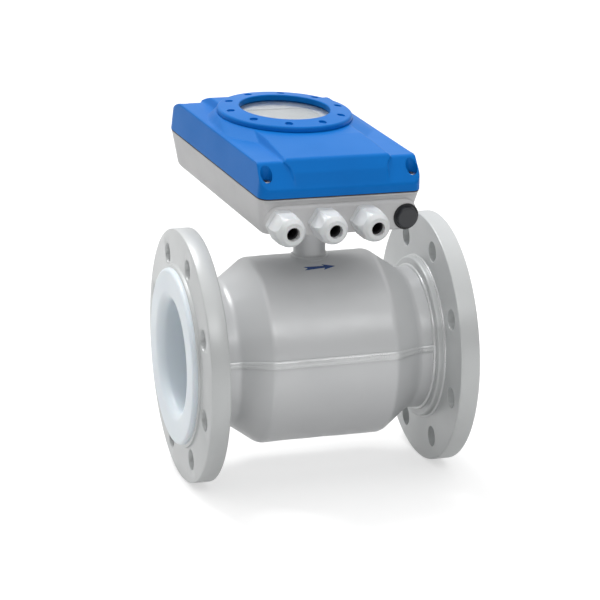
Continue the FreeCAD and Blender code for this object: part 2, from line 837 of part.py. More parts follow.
def gland_dome(x):
    """Clamping nut: a hexagon that rounds over to a small mouth."""
    start = V(x, dome_back, -entry_drop)
    bar = hexagon(dome_hex_half, start, OUT_OF_CASE, dome_length, 30)
    corner = dome_hex_half / math.cos(math.radians(30))
    shoulder = dome_hex_half + dome_nose_rim
    profile = [(0, 0), (0, corner - gland_hex_bevel), (gland_hex_bevel, corner),
               (dome_straight, corner), (dome_straight + dome_run_out, shoulder),
               (dome_length - dome_nose_length, shoulder - dome_nose_taper),
               (dome_length, dome_mouth_radius - dome_front_bevel), (dome_length, 0)]
    form = turned(profile, [0, 0, 0, 0, dome_shoulder_round, dome_nose_round, 0, 0], ALONG_Z)
    form.Placement = FreeCAD.Placement(start, FreeCAD.Rotation(ALONG_Z, OUT_OF_CASE))
    body = bar.common(form)
    socket = rod(insert_radius + fit_gap, start, OUT_OF_CASE, dome_length - dome_lip_length)
    return body.cut(socket).cut(rod(dome_mouth_hole, start, OUT_OF_CASE, dome_length))


def gland_seal(x):
    """Rubber bush that the nut squeezes on the cable, behind the lip of the mouth."""
    start = V(x, dome_front + dome_lip_length + fit_gap, -entry_drop)
    return pipe(gland_bore_radius, seal_bore_radius, start, INTO_CASE, seal_length)


def blanking_plug():
    x = entry_x[-1]
    start = V(x, pad_y - plug_seal_thick, -entry_drop)
    bar = hexagon(plug_hex_half, start, OUT_OF_CASE, plug_head_thick, 0)
    corner = plug_hex_half / math.cos(math.radians(30))
    profile = [(0, 0), (0, corner), (plug_head_thick, corner - plug_front_taper), (plug_head_thick, 0)]
    form = turned(profile, [0, 0, plug_edge_round, 0], ALONG_Z)
    form.Placement = FreeCAD.Placement(start, FreeCAD.Rotation(ALONG_Z, OUT_OF_CASE))
    thread = rod(gland_thread_radius, start, INTO_CASE, gland_thread_in)
    hollow = rod(gland_thread_radius - plug_thread_wall, start, INTO_CASE, gland_thread_in)
    return fused([bar.common(form), thread]).cut(hollow)


def plug_washer():
    return pipe(gland_thread_radius + plug_washer_rim, gland_thread_radius,
                V(entry_x[-1], pad_y - plug_seal_thick, -entry_drop), INTO_CASE, plug_seal_thick)


# ------------------------------------------------------------------ electronics
board_z = base_floor + board_rise
board_top = board_z + board_thick
row_y = main_board_front + plug_board_inset
main_board_rear = case_rear - case_wall - base_rear_draft - board_rear_gap


def main_board():
    board = slab(-main_board_half, main_board_half, main_board_front, main_board_rear,
                 board_z, board_top)
    for x, y in standoff_places():
        start = V(x, y, board_z - cut_over)
        board = board.cut(rod(board_hole_radius, start, ALONG_Z, board_thick + 2 * cut_over))
    return board


def standoff_places():
    half = main_board_half - standoff_inset
    return [(x, y) for x in (-half, half)
            for y in (main_board_front + standoff_inset, main_board_rear - standoff_inset)]


def board_standoffs():
    return Part.makeCompound([rod(standoff_radius, V(x, y, base_floor), ALONG_Z, board_rise)
                              for x, y in standoff_places()])


def board_screws():
    screws = []
    for x, y in standoff_places():
        screws.append(rod(board_screw_radius, V(x, y, board_top), ALONG_Z, board_screw_height))
    return Part.makeCompound(screws)


def harness_plug():
    half = harness_plug_width / 2.0
    return slab(harness_plug_x - half, harness_plug_x + half, row_y, row_y + harness_plug_depth,
                board_top, board_top + harness_plug_height)


def sensor_harness():
    """Sleeved leads of coils and electrodes, up the neck and over to the plug."""
    start = OUT_OF_HEAD.multVec(V(0, 0, shell_radius - shell_wall))
    run_z = base_floor + harness_rise
    route = [start, neck_point(run_z), V(harness_plug_x, row_y - harness_plug_reach, run_z),
             V(harness_plug_x, row_y, run_z)]
    return bent_tube(route, harness_radius, harness_bend)


def bent_tube(route, radius, bend):
    """Round tube along straight runs that are joined by arcs of one radius."""
    edges = []
    last = route[0]
    for before, corner, after in zip(route, route[1:], route[2:]):
        back = (before - corner).normalize()
        ahead = (after - corner).normalize()
        half = back.getAngle(ahead) / 2.0
        reach = bend / math.tan(half)
        middle = corner + (back + ahead).normalize() * (bend / math.sin(half) - bend)
        edges.append(Part.LineSegment(last, corner + back * reach).toShape())
        edges.append(Part.Arc(corner + back * reach, middle, corner + ahead * reach).toShape())
        last = corner + ahead * reach
    edges.append(Part.LineSegment(last, route[-1]).toShape())
    section = Part.Wire(Part.makeCircle(radius, route[0], route[1] - route[0]))
    return Part.Wire(edges).makePipeShell([section], True, False)


def supply_block():
    y0 = main_board_rear - supply_length - 2 * standoff_inset
    return slab(-supply_width / 2.0, supply_width / 2.0, y0, y0 + supply_length,
                board_top, board_top + supply_height)


def terminal_block():
    z = board_top
    width = terminal_pitch * terminal_count
    x0 = terminal_shift - width / 2.0
    top = z + terminal_height
    block = slab(x0, x0 + width, row_y, row_y + terminal_depth, z, top)
    for index in range(terminal_count):
        x = x0 + terminal_pitch * (index + 0.5)
        screw = rod(terminal_screw_radius, V(x, row_y + terminal_screw_row, top - terminal_screw_depth),
                    ALONG_Z, terminal_screw_depth)
        mouth = slab(x - terminal_mouth_half, x + terminal_mouth_half, row_y,
                     row_y + terminal_mouth_depth, z + terminal_mouth_low, z + terminal_mouth_high)
        block = block.cut(screw).cut(mouth)
    return block


display_top = seal_z - display_drop
display_floor = display_top - display_depth
display_face_z = glass_z - display_face_gap
lcd_top = display_face_z - lcd_recess


def display_bezel():
    """Square body of the display with its round face close under the glass."""
    half = display_half
    c = ring_center
    z = display_floor
    points = [V(-half, c - half, z), V(half, c - half, z), V(half, c + half, z), V(-half, c + half, z)]
    plate = prism(points, [display_corner] * 4, V(0, 0, display_depth))
    face = rod(window_hole_radius - display_face_side_gap, V(0, c, z), ALONG_Z, display_face_z - z)
    window = slab(-lcd_half_length, lcd_half_length, c - lcd_half_width, c + lcd_half_width,
                  lcd_top, display_face_z)
    return fused([plate, face]).cut(window).cut(lcd_bed())


def lcd_bed():
    c = ring_center
    length = lcd_half_length + lcd_rim
    width = lcd_half_width + lcd_rim
    return slab(-length, length, c - width, c + width, lcd_top - lcd_thick, lcd_top)


def display_lcd():
    return lcd_bed()


def display_carrier():
    """Four pillars that hold the display over the main board."""
    pillars = []
    for x in (-carrier_offset, carrier_offset):
        for y in (carrier_front, ring_center + carrier_offset):
            pillars.append(rod(carrier_radius, V(x, y, board_top), ALONG_Z, display_floor - board_top))
    return Part.makeCompound(pillars)


# ----------------------------------------------------------------------- build
def add(name, shape):
    parts[name] = shape


def build_sensor():
    flange = outlet_flange()
    upper, lower = housing_halves()
    shoe = pole_shoe()
    coil = field_coil()
    add("liner", liner())
    add("measuring_tube", measuring_tube())
    add("outlet_flange", flange)
    add("inlet_flange", mirrored_x(flange))
    add("upper_housing_shell", upper)
    add("lower_housing_shell", lower)
    add("front_seam_weld", seam_weld(-1))
    add("rear_seam_weld", seam_weld(1))
    add("upper_pole_shoe", shoe)
    add("lower_pole_shoe", shoe.mirror(ORIGIN, ALONG_Z))
    add("upper_field_coil", coil)
    add("lower_field_coil", coil.mirror(ORIGIN, ALONG_Z))
    add("magnetic_yoke", magnetic_yoke())
    for name, side in (("front", -1), ("rear", 1)):
        add(name + "_electrode", electrode(side))
        add(name + "_electrode_sleeve", electrode_sleeve(side))
        add(name + "_electrode_nut", electrode_nut(side))
    add("sensor_neck", sensor_neck())


def build_converter():
    add("neck_gasket", seated(stub_gasket()))
    add("neck_screws", seated(stub_screws()))
    add("converter_base", seated(converter_base()))
    add("cover_gasket", seated(cover_gasket()))
    add("converter_cover", seated(converter_cover()))
    add("cover_screws", seated(cover_screws()))
    add("window_ring", seated(window_ring()))
    add("window_seal", seated(window_seal()))
    add("window_glass", seated(window_glass()))
    add("main_board", seated(main_board()))
    add("board_standoffs", seated(board_standoffs()))
    add("board_screws", seated(board_screws()))
    add("supply_block", seated(supply_block()))
    add("harness_plug", seated(harness_plug()))
    add("sensor_harness", seated(sensor_harness()))
    add("terminal_block", seated(terminal_block()))
    add("display_bezel", seated(display_bezel()))
    add("display_lcd", seated(display_lcd()))
    add("display_pillars", seated(display_carrier()))


def build_glands():
    for number, x in enumerate(entry_x[:-1], 1):
        add("gland_body_%d" % number, seated(gland_body(x)))
        add("gland_nut_%d" % number, seated(gland_dome(x)))
        add("gland_seal_%d" % number, seated(gland_seal(x)))
    add("blanking_plug", seated(blanking_plug()))
    add("plug_washer", seated(plug_washer()))


def main():
    build_sensor()
    build_converter()
    build_glands()
    os.makedirs("parts", exist_ok=True)
    for name, shape in parts.items():
        shape.exportStep("parts/%s.step" % name)


main()
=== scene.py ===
import math

import bpy
from mathutils import Matrix, Vector, noise


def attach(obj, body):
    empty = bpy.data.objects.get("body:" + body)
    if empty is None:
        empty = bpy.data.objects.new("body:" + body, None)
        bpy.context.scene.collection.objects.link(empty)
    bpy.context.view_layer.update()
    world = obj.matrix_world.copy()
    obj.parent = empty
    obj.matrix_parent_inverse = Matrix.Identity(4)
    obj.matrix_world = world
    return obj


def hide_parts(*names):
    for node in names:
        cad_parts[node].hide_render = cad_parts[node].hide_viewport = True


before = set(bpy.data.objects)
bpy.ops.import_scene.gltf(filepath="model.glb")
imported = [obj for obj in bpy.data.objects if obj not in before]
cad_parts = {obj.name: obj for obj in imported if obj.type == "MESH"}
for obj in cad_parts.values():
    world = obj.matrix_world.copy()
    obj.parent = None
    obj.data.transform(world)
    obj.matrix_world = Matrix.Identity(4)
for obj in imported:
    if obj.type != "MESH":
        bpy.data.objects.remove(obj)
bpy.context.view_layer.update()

# Electromagnetic flow meter: lined DN100 sensor, and a two-colour converter head on a short neck.
# Pieces are modelled in millimetres and brought to metres when they are settled on their body.
# The frame: origin on the pipe axis at mid length, +X downstream, +Z up, -Y the gland side.
MM = 0.001
METER = Matrix.Identity(4)
HEAD_PLACE = (-0.9, 5.1, 156.2)
HEAD_YAW, HEAD_PITCH, HEAD_ROLL = 6.0, 6.5, 1.8           # degrees
FULL_TURN = 2 * math.pi
ROUND_STEPS = 192
RIM_REACH = 0.1                   # how near an edge counts as the rim of a hole


def about(degrees, axis):
    return Matrix.Rotation(math.radians(degrees), 4, axis)


HEAD = (Matrix.Translation(HEAD_PLACE)
        @ about(HEAD_YAW, "Z") @ about(HEAD_PITCH, "X") @ about(HEAD_ROLL, "Y"))


# ------------------------------------------------------------------ working with operators
def deselect_all():
    bpy.ops.object.select_all(action="DESELECT")


def hold(piece):
    """Makes one piece the active and only selected one."""
    deselect_all()
    piece.select_set(True)
    bpy.context.view_layer.objects.active = piece
    return piece


def edit(piece, mode="FACE"):
    hold(piece)
    bpy.ops.object.mode_set(mode="EDIT")
    bpy.ops.mesh.select_mode(type=mode)
    bpy.ops.mesh.select_all(action="DESELECT")


def leave_edit():
    bpy.ops.object.mode_set(mode="OBJECT")


def pick(piece, kind, test):
    """Selects the faces, edges or vertices whose centre passes the test; stays in edit mode."""
    edit(piece, {"polygons": "FACE", "edges": "EDGE", "vertices": "VERT"}[kind])
    leave_edit()
    mesh = piece.data
    for element in getattr(mesh, kind):
        if kind == "polygons":
            place = element.center
        elif kind == "edges":
            place = (mesh.vertices[element.vertices[0]].co + mesh.vertices[element.vertices[1]].co) / 2
        else:
            place = element.co
        element.select = bool(test(place, element))
    bpy.ops.object.mode_set(mode="EDIT")


def apply_modifier(piece, kind, **settings):
    hold(piece)
    modifier = piece.modifiers.new(kind.lower(), kind)
    for key, value in settings.items():
        setattr(modifier, key, value)
    bpy.ops.object.modifier_apply(modifier=modifier.name)
    return piece


def combine(piece, other, operation):
    """Boolean of two pieces; the second one is used up."""
    apply_modifier(piece, "BOOLEAN", object=other, operation=operation, solver="MANIFOLD")
    bpy.data.objects.remove(other)
    return piece


def cut(piece, cutter):
    return combine(piece, cutter, "DIFFERENCE")


def joined(pieces):
    hold(pieces[0])
    for piece in pieces:
        piece.select_set(True)
    bpy.ops.object.join()
    return pieces[0]


def copied(piece, name, matrix=None):
    twin = piece.copy()
    twin.data = piece.data.copy()
    twin.name = name
    bpy.context.scene.collection.objects.link(twin)
    if matrix is not None:
        twin.data.transform(matrix)
        if matrix.determinant() < 0:
            edit(twin)
            bpy.ops.mesh.select_all(action="SELECT")
            bpy.ops.mesh.flip_normals()
            leave_edit()
    return twin


def tidy_mesh(piece, weld=0.001):
    edit(piece, "VERT")
    bpy.ops.mesh.select_all(action="SELECT")
    bpy.ops.mesh.remove_doubles(threshold=weld)
    bpy.ops.mesh.normals_make_consistent(inside=False)
    leave_edit()
    return piece


def rounded_edges(piece, width, segments=3, angle=30.0):
    return apply_modifier(piece, "BEVEL", width=width, segments=segments, limit_method="ANGLE",
                          angle_limit=math.radians(angle), miter_outer="MITER_ARC")


def smooth_finish(piece, angle=35.0):
    hold(piece)
    bpy.ops.object.shade_smooth_by_angle(angle=math.radians(angle))
    apply_modifier(piece, "WEIGHTED_NORMAL", keep_sharp=True, weight=60)
    return piece


def cast_finish(piece, voxel, passes, keep):
    """Runs the union of sharp bodies together as one casting with soft inner and outer corners."""
    apply_modifier(piece, "REMESH", mode="VOXEL", voxel_size=voxel, use_smooth_shade=True)
    apply_modifier(piece, "SMOOTH", factor=0.5, iterations=passes)
    apply_modifier(piece, "DECIMATE", ratio=keep)
    return piece


# ------------------------------------------------------------------------ outlines and solids
def softened(points, radii, steps=6):
    """Points of a closed outline in a plane, with an arc of the given radius at each corner."""
    line = []
    count = len(points)
    for index, corner in enumerate(points):
        corner = Vector(corner)
        radius = radii[index]
        if radius <= 0:
            line.append(corner)
            continue
        back = (Vector(points[index - 1]) - corner).normalized()
        ahead = (Vector(points[(index + 1) % count]) - corner).normalized()
        half = back.angle(ahead) / 2
        middle = corner + (back + ahead).normalized() * (radius / math.sin(half))
        start = corner + back * (radius / math.tan(half)) - middle
        sweep = math.pi - 2 * half
        normal = start.cross(corner + ahead * (radius / math.tan(half)) - middle)
        for step in range(steps + 1):
            turn = Matrix.Rotation(sweep * step / steps, 3, normal)
            line.append(middle + turn @ start)
    return line


def lathe_outline(points, radii, steps=6):
    """Closed outline of (along, radius) for a turned piece, with its corners rounded."""
    return [(p.x, p.y) for p in softened([(a, b, 0) for a, b in points], radii, steps)]


def drawn(name, points):
    """A line drawn by extruding one vertex from point to point; stays in edit mode."""
    deselect_all()
    bpy.ops.mesh.primitive_plane_add(size=1.0, location=(0, 0, 0))
    piece = bpy.context.object
    piece.name = name
    bpy.ops.object.mode_set(mode="EDIT")
    bpy.ops.mesh.select_mode(type="VERT")
    bpy.ops.mesh.select_all(action="SELECT")
    bpy.ops.mesh.merge(type="CENTER")
    bpy.ops.transform.translate(value=Vector(points[0]))
    for before, after in zip(points, points[1:]):
        step = Vector(after) - Vector(before)
        bpy.ops.mesh.extrude_region_move(TRANSFORM_OT_translate={"value": step})
    return piece


def turned(name, outline, axis=(1, 0, 0), steps=ROUND_STEPS):
    """Solid spun about an axis through the origin from a closed outline of (along, radius)."""
    if axis[0]:
        points = [Vector((along, 0, radius)) for along, radius in outline]
    else:
        points = [Vector((radius, 0, along)) for along, radius in outline]
    piece = drawn(name, points + points[:1])
    bpy.ops.mesh.select_all(action="SELECT")
    bpy.ops.mesh.spin(steps=steps, angle=FULL_TURN, center=(0, 0, 0), axis=axis)
    leave_edit()
    return tidy_mesh(piece)


def pushed(name, outline, direction):
    """Solid pushed out of a closed flat outline along a direction."""
    piece = drawn(name, outline)
    bpy.ops.mesh.select_all(action="SELECT")
    bpy.ops.mesh.edge_face_add()
    bpy.ops.mesh.extrude_region_move(TRANSFORM_OT_translate={"value": direction})
    leave_edit()
    return tidy_mesh(piece)


def rod(name, radius, start, direction, length, sides=48):
    """Round bar from a start point along a direction."""
    way = Vector(direction).normalized()
    middle = Vector(start) + way * (length / 2)
    turn = Vector((0, 0, 1)).rotation_difference(way).to_euler()
    deselect_all()
    bpy.ops.mesh.primitive_cylinder_add(vertices=sides, radius=radius, depth=length,
                                        location=middle, rotation=turn)
    bpy.context.object.name = name
    bpy.ops.object.transform_apply(location=True, rotation=True, scale=True)
    return bpy.context.object


def slab(name, low, high):
    deselect_all()
    bpy.ops.mesh.primitive_cube_add(size=1.0)
    piece = bpy.context.object
    piece.name = name
    piece.scale = [b - a for a, b in zip(low, high)]
    piece.location = [(a + b) / 2 for a, b in zip(low, high)]
    bpy.ops.object.transform_apply(location=True, rotation=True, scale=True)
    return piece


def sliced(piece, point, normal):
    """Cuts a piece with a plane and keeps the side that the normal points away from."""
    edit(piece)
    bpy.ops.mesh.select_all(action="SELECT")
    bpy.ops.mesh.bisect(plane_co=point, plane_no=normal, use_fill=True, clear_outer=True)
    leave_edit()
    return piece


def ring_of(first, count, axis):
    """A piece repeated round an axis and joined."""
    turns = [Matrix.Rotation(FULL_TURN * index / count, 4, axis) for index in range(1, count)]
    return joined([first] + [copied(first, first.name, turn) for turn in turns])


def on_small_circles(across, up, circle, count, phase, radius):
    """True near the rim of one of the small circles that are spread round a big one."""
    for index in range(count):
        angle = math.radians(phase) + FULL_TURN * index / count
        reach = math.hypot(across - circle * math.cos(angle), up - circle * math.sin(angle))
        if radius - RIM_REACH < reach < radius + RIM_REACH / 2:
            return True
    return False


def ripple(piece, size, depth):
    """Moves the surface in and out a little, as pressed sheet has it."""
    waves = bpy.data.textures.new(piece.name + "_waves", "CLOUDS")
    waves.noise_scale = size
    return apply_modifier(piece, "DISPLACE", texture=waves, texture_coords="LOCAL", strength=depth)


def settle(piece, body, seat, finish, slot, *nodes):
    """Brings a piece to metres and to its place, with its finish, body and the nodes it stands for."""
    piece.data.transform(Matrix.Scale(MM, 4) @ seat)
    piece.data.update()
    piece.data.materials.clear()
    piece.data.materials.append(finish)
    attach(piece, body)
    if nodes:
        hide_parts(*nodes)
    return piece


# ------------------------------------------------------------------------------ finishes
def new_group(name, inputs, outputs):
    group = bpy.data.node_groups.new(name, "ShaderNodeTree")
    for label, kind, value in inputs:
        socket = group.interface.new_socket(label, in_out="INPUT", socket_type=kind)
        socket.default_value = value
    for label, kind in outputs:
        group.interface.new_socket(label, in_out="OUTPUT", socket_type=kind)
    entry = group.nodes.new("NodeGroupInput")
    leave = group.nodes.new("NodeGroupOutput")
    return group, entry, leave


def node(tree, kind, inputs=None, **settings):
    made = tree.nodes.new(kind)
    for key, value in settings.items():
        setattr(made, key, value)
    for key, value in (inputs or {}).items():
        made.inputs[key].default_value = value
    return made


def link(tree, source, output, target, socket):
    tree.links.new(source.outputs[output], target.inputs[socket])


def grain_group():
    """Fine bumps of a sprayed or moulded skin: a broad wave of the film and a small grain."""
    group, entry, leave = new_group(
        "skin_grain",
        [("Vector", "NodeSocketVector", (0, 0, 0)), ("Grain", "NodeSocketFloat", 900.0),
         ("Wave", "NodeSocketFloat", 60.0), ("Wave share", "NodeSocketFloat", 0.4)],
        [("Height", "NodeSocketFloat")])
    fine = node(group, "ShaderNodeTexNoise", {"Detail": 4.0})
    broad = node(group, "ShaderNodeTexNoise", {"Detail": 2.0})
    blend = node(group, "ShaderNodeMix", data_type="FLOAT")
    link(group, entry, "Vector", fine, "Vector")
    link(group, entry, "Vector", broad, "Vector")
    link(group, entry, "Grain", fine, "Scale")
    link(group, entry, "Wave", broad, "Scale")
    link(group, entry, "Wave share", blend, 0)
    link(group, fine, "Fac", blend, 2)
    link(group, broad, "Fac", blend, 3)
    link(group, blend, 0, leave, "Height")
    return group


def drift_group():
    """Slow drift of tone over a surface, with a finer fleck in it."""
    group, entry, leave = new_group(
        "tone_drift",
        [("Vector", "NodeSocketVector", (0, 0, 0)), ("Colour", "NodeSocketColor", (1, 1, 1, 1)),
         ("Deep colour", "NodeSocketColor", (0, 0, 0, 1)), ("Drift size", "NodeSocketFloat", 14.0),
         ("Fleck size", "NodeSocketFloat", 1400.0), ("Fleck", "NodeSocketFloat", 0.2)],
        [("Colour", "NodeSocketColor"), ("Mask", "NodeSocketFloat")])
    slow = node(group, "ShaderNodeTexNoise", {"Detail": 3.0})
    quick = node(group, "ShaderNodeTexNoise", {"Detail": 2.0})
    blend = node(group, "ShaderNodeMix", data_type="FLOAT")
    spread = node(group, "ShaderNodeMapRange", {"From Min": 0.3, "From Max": 0.7})
    paint = node(group, "ShaderNodeMix", data_type="RGBA")
    link(group, entry, "Vector", slow, "Vector")
    link(group, entry, "Vector", quick, "Vector")
    link(group, entry, "Drift size", slow, "Scale")
    link(group, entry, "Fleck size", quick, "Scale")
    link(group, entry, "Fleck", blend, 0)
    link(group, slow, "Fac", blend, 2)
    link(group, quick, "Fac", blend, 3)
    link(group, blend, 0, spread, "Value")
    link(group, spread, "Result", paint, 0)
    link(group, entry, "Deep colour", paint, 6)
    link(group, entry, "Colour", paint, 7)
    link(group, paint, 2, leave, "Colour")
    link(group, spread, "Result", leave, "Mask")
    return group


def lathe_group():
    """Fine rings left by turning, about the X axis of the meter."""
    group, entry, leave = new_group(
        "lathe_rings",
        [("Vector", "NodeSocketVector", (0, 0, 0)), ("Pitch", "NodeSocketFloat", 700.0)],
        [("Height", "NodeSocketFloat")])
    split = node(group, "ShaderNodeSeparateXYZ")
    flat = node(group, "ShaderNodeCombineXYZ")
    reach = node(group, "ShaderNodeVectorMath", operation="LENGTH")
    lines = node(group, "ShaderNodeTexNoise", {"Detail": 3.0}, noise_dimensions="1D")
    link(group, entry, "Vector", split, 0)
    link(group, split, "Y", flat, "Y")
    link(group, split, "Z", flat, "Z")
    link(group, flat, 0, reach, 0)
    link(group, reach, "Value", lines, "W")
    link(group, entry, "Pitch", lines, "Scale")
    link(group, lines, "Fac", leave, "Height")
    return group


GRAIN = grain_group()
DRIFT = drift_group()
LATHE = lathe_group()


def placed(tree, group, **values):
    made = tree.nodes.new("ShaderNodeGroup")
    made.node_tree = group
    for key, value in values.items():
        made.inputs[key.replace("_", " ")].default_value = value
    return made


def finish(name, colour, deep, roughness, grain=(900.0, 60.0, 0.4), bump=(0.15, 0.02),
           drift=(14.0, 1400.0, 0.2), rough_spread=0.06, lathe=None, **shader):
    """A painted, moulded or bare surface: tone drift, grain bump and an uneven sheen."""
    material = bpy.data.materials.new(name)
    material.use_nodes = True
    tree = material.node_tree
    skin = tree.nodes["Principled BSDF"]
    where = node(tree, "ShaderNodeTexCoord")
    tone = placed(tree, DRIFT, Colour=(*colour, 1), Deep_colour=(*deep, 1), Drift_size=drift[0],
                  Fleck_size=drift[1], Fleck=drift[2])
    texture = placed(tree, GRAIN, Grain=grain[0], Wave=grain[1], Wave_share=grain[2])
    sheen = node(tree, "ShaderNodeMapRange",
                 {"To Min": roughness + rough_spread, "To Max": roughness - rough_spread})
    relief = node(tree, "ShaderNodeBump", {"Strength": bump[0], "Distance": bump[1] * MM})
    link(tree, where, "Object", tone, "Vector")
    link(tree, where, "Object", texture, "Vector")
    link(tree, tone, "Colour", skin, "Base Color")
    link(tree, tone, "Mask", sheen, "Value")
    link(tree, sheen, "Result", skin, "Roughness")
    link(tree, texture, "Height", relief, "Height")
    normal = relief.outputs["Normal"]
    if lathe:
        rings = placed(tree, LATHE, Pitch=lathe[0])
        second = node(tree, "ShaderNodeBump", {"Strength": lathe[1], "Distance": lathe[2] * MM})
        link(tree, where, "Object", rings, "Vector")
        link(tree, rings, "Height", second, "Height")
        tree.links.new(normal, second.inputs["Normal"])
        normal = second.outputs["Normal"]
    tree.links.new(normal, skin.inputs["Normal"])
    for label, value in shader.items():
        skin.inputs[label.replace("_", " ")].default_value = value
    return material


silver_paint = finish("silver_paint", (0.66, 0.67, 0.675), (0.63, 0.64, 0.65), 0.36,
                      grain=(1300.0, 90.0, 0.35), bump=(0.25, 0.03), Metallic=0.14)
# Painted shade: the sensor paint made darker on the flanges, whose faces lie in shade beside the body; the
# lathe rings are a real bump.
flange_paint_painted_shade = finish("flange_paint_painted_shade", (0.62, 0.635, 0.635), (0.57, 0.585, 0.585), 0.38,
                      grain=(1300.0, 90.0, 0.35), bump=(0.25, 0.03), lathe=(900.0, 0.25, 0.05),
                      Metallic=0.14)
# Painted highlight: the sensor paint made lighter on the weld beads and seams, for the light they catch;
# their lower roughness and added metallic give them their own gloss.
weld_paint_painted_highlight = finish("weld_paint_painted_highlight", (0.72, 0.73, 0.735), (0.64, 0.65, 0.655), 0.29,
                    grain=(1300.0, 300.0, 0.6), bump=(0.3, 0.1), Metallic=0.25)
liner_white = finish("liner_white", (0.86, 0.90, 0.94), (0.80, 0.85, 0.90), 0.36,
                     grain=(600.0, 40.0, 0.6), bump=(0.12, 0.04), Subsurface_Weight=0.10)
cover_blue = finish("cover_blue", (0.002, 0.175, 0.60), (0.002, 0.155, 0.54), 0.38,
                    grain=(1100.0, 160.0, 0.45), bump=(0.22, 0.05), Specular_IOR_Level=0.10)
case_grey = finish("case_grey", (0.64, 0.64, 0.645), (0.54, 0.54, 0.545), 0.45,
                   grain=(1100.0, 160.0, 0.45), bump=(0.22, 0.06))
gland_white = finish("gland_white", (0.76, 0.765, 0.77), (0.71, 0.715, 0.72), 0.36,
                     grain=(1500.0, 200.0, 0.3), bump=(0.12, 0.02), Subsurface_Weight=0.05)
plug_black = finish("plug_black", (0.035, 0.037, 0.042), (0.022, 0.024, 0.028), 0.45,
                    grain=(1800.0, 300.0, 0.3), bump=(0.3, 0.04))
seal_rubber = finish("seal_rubber", (0.018, 0.018, 0.02), (0.010, 0.010, 0.012), 0.62,
                     grain=(2500.0, 300.0, 0.3), bump=(0.3, 0.03))
arrow_blue = finish("arrow_blue", (0.018, 0.075, 0.27), (0.015, 0.06, 0.23), 0.40,
                    grain=(1500.0, 200.0, 0.3), bump=(0.1, 0.02))
bare_steel = finish("bare_steel", (0.52, 0.52, 0.53), (0.43, 0.43, 0.45), 0.32,
                    grain=(2200.0, 300.0, 0.3), bump=(0.2, 0.02), Metallic=1.0)
magnet_steel = finish("magnet_steel", (0.26, 0.26, 0.27), (0.20, 0.20, 0.21), 0.45,
                      grain=(2200.0, 300.0, 0.3), bump=(0.2, 0.02), Metallic=0.9)
coil_copper = finish("coil_copper", (0.60, 0.24, 0.10), (0.45, 0.16, 0.06), 0.34,
                     grain=(3000.0, 600.0, 0.3), bump=(0.6, 0.1), Metallic=0.9)
board_green = finish("board_green", (0.012, 0.13, 0.055), (0.008, 0.09, 0.035), 0.42,
                     grain=(1800.0, 700.0, 0.5), bump=(0.3, 0.04))
black_moulding = finish("black_moulding", (0.030, 0.030, 0.033), (0.020, 0.020, 0.022), 0.48,
                        grain=(2200.0, 300.0, 0.3), bump=(0.3, 0.03))
white_moulding = finish("white_moulding", (0.76, 0.76, 0.74), (0.70, 0.70, 0.68), 0.45,
                        grain=(2200.0, 300.0, 0.3), bump=(0.2, 0.03))
terminal_green = finish("terminal_green", (0.16, 0.28, 0.18), (0.12, 0.22, 0.14), 0.45,
                        grain=(2200.0, 300.0, 0.3), bump=(0.2, 0.03))
display_mask = finish("display_mask", (0.64, 0.67, 0.69), (0.60, 0.63, 0.65), 0.40,
                      grain=(1500.0, 200.0, 0.3), bump=(0.1, 0.02))
display_screen = finish("display_screen", (0.58, 0.62, 0.63), (0.54, 0.58, 0.59), 0.22,
                        grain=(3000.0, 300.0, 0.3), bump=(0.05, 0.01))


def clear_glass():
    material = bpy.data.materials.new("window_glass")
    material.use_nodes = True
    tree = material.node_tree
    skin = tree.nodes["Principled BSDF"]
    skin.inputs["Base Color"].default_value = (0.93, 0.95, 0.96, 1)
    skin.inputs["Metallic"].default_value = 0.0
    skin.inputs["Transmission Weight"].default_value = 1.0
    skin.inputs["IOR"].default_value = 1.50
    where = node(tree, "ShaderNodeTexCoord")
    haze = placed(tree, GRAIN, Grain=500.0, Wave=25.0, Wave_share=0.6)
    sheen = node(tree, "ShaderNodeMapRange", {"To Min": 0.03, "To Max": 0.10})
    link(tree, where, "Object", haze, "Vector")
    link(tree, haze, "Height", sheen, "Value")
    link(tree, sheen, "Result", skin, "Roughness")
    return material


window_pane = clear_glass()


# ------------------------------------------------------------------------ sensor: flanges
HUB_X = 94.0
PLATE_IN, PLATE_OUT, RAISED_X, FACE_X = 100.5, 117.5, 120.5, 125.0
TUBE_R, HUB_R, RAISED_R, FLANGE_R = 57.1, 71.0, 79.0, 110.0
NECK_R, SHELL_R, SHELL_WALL = 62.5, 81.0, 2.5
CREASE_X, CONE_X = 54.0, 80.0
HOLE_R, HOLE_CIRCLE, HOLE_COUNT, HOLE_PHASE, HOLE_CUT = 9.0, 90.0, 8, 22.5, 26.0


def on_hole_rim(place):
    """True for the edges round the mouths of the bolt holes."""
    on_face = min(abs(place.x - PLATE_IN), abs(place.x - PLATE_OUT)) <= 0.01
    return on_face and on_small_circles(place.y, place.z, HOLE_CIRCLE, HOLE_COUNT, HOLE_PHASE, HOLE_R)


def outlet_flange():
    flange = turned("outlet_flange_casting", lathe_outline(
        [(HUB_X, TUBE_R), (HUB_X, HUB_R), (PLATE_IN, HUB_R), (PLATE_IN, FLANGE_R),
         (PLATE_OUT, FLANGE_R), (PLATE_OUT, RAISED_R), (RAISED_X, RAISED_R), (RAISED_X, TUBE_R)],
        [0, 2.0, 2.2, 1.5, 1.5, 1.6, 1.2, 0], steps=3))
    hole = rod("hole", HOLE_R, (PLATE_IN - 4, 0, HOLE_CIRCLE), (1, 0, 0), HOLE_CUT)
    holes = ring_of(hole, HOLE_COUNT, "X")
    holes.data.transform(about(HOLE_PHASE, "X"))
    cut(flange, holes)
    pick(flange, "edges", lambda c, e: on_hole_rim(c))
    bpy.ops.mesh.bevel(offset=0.5, segments=2)
    leave_edit()
    return smooth_finish(flange)


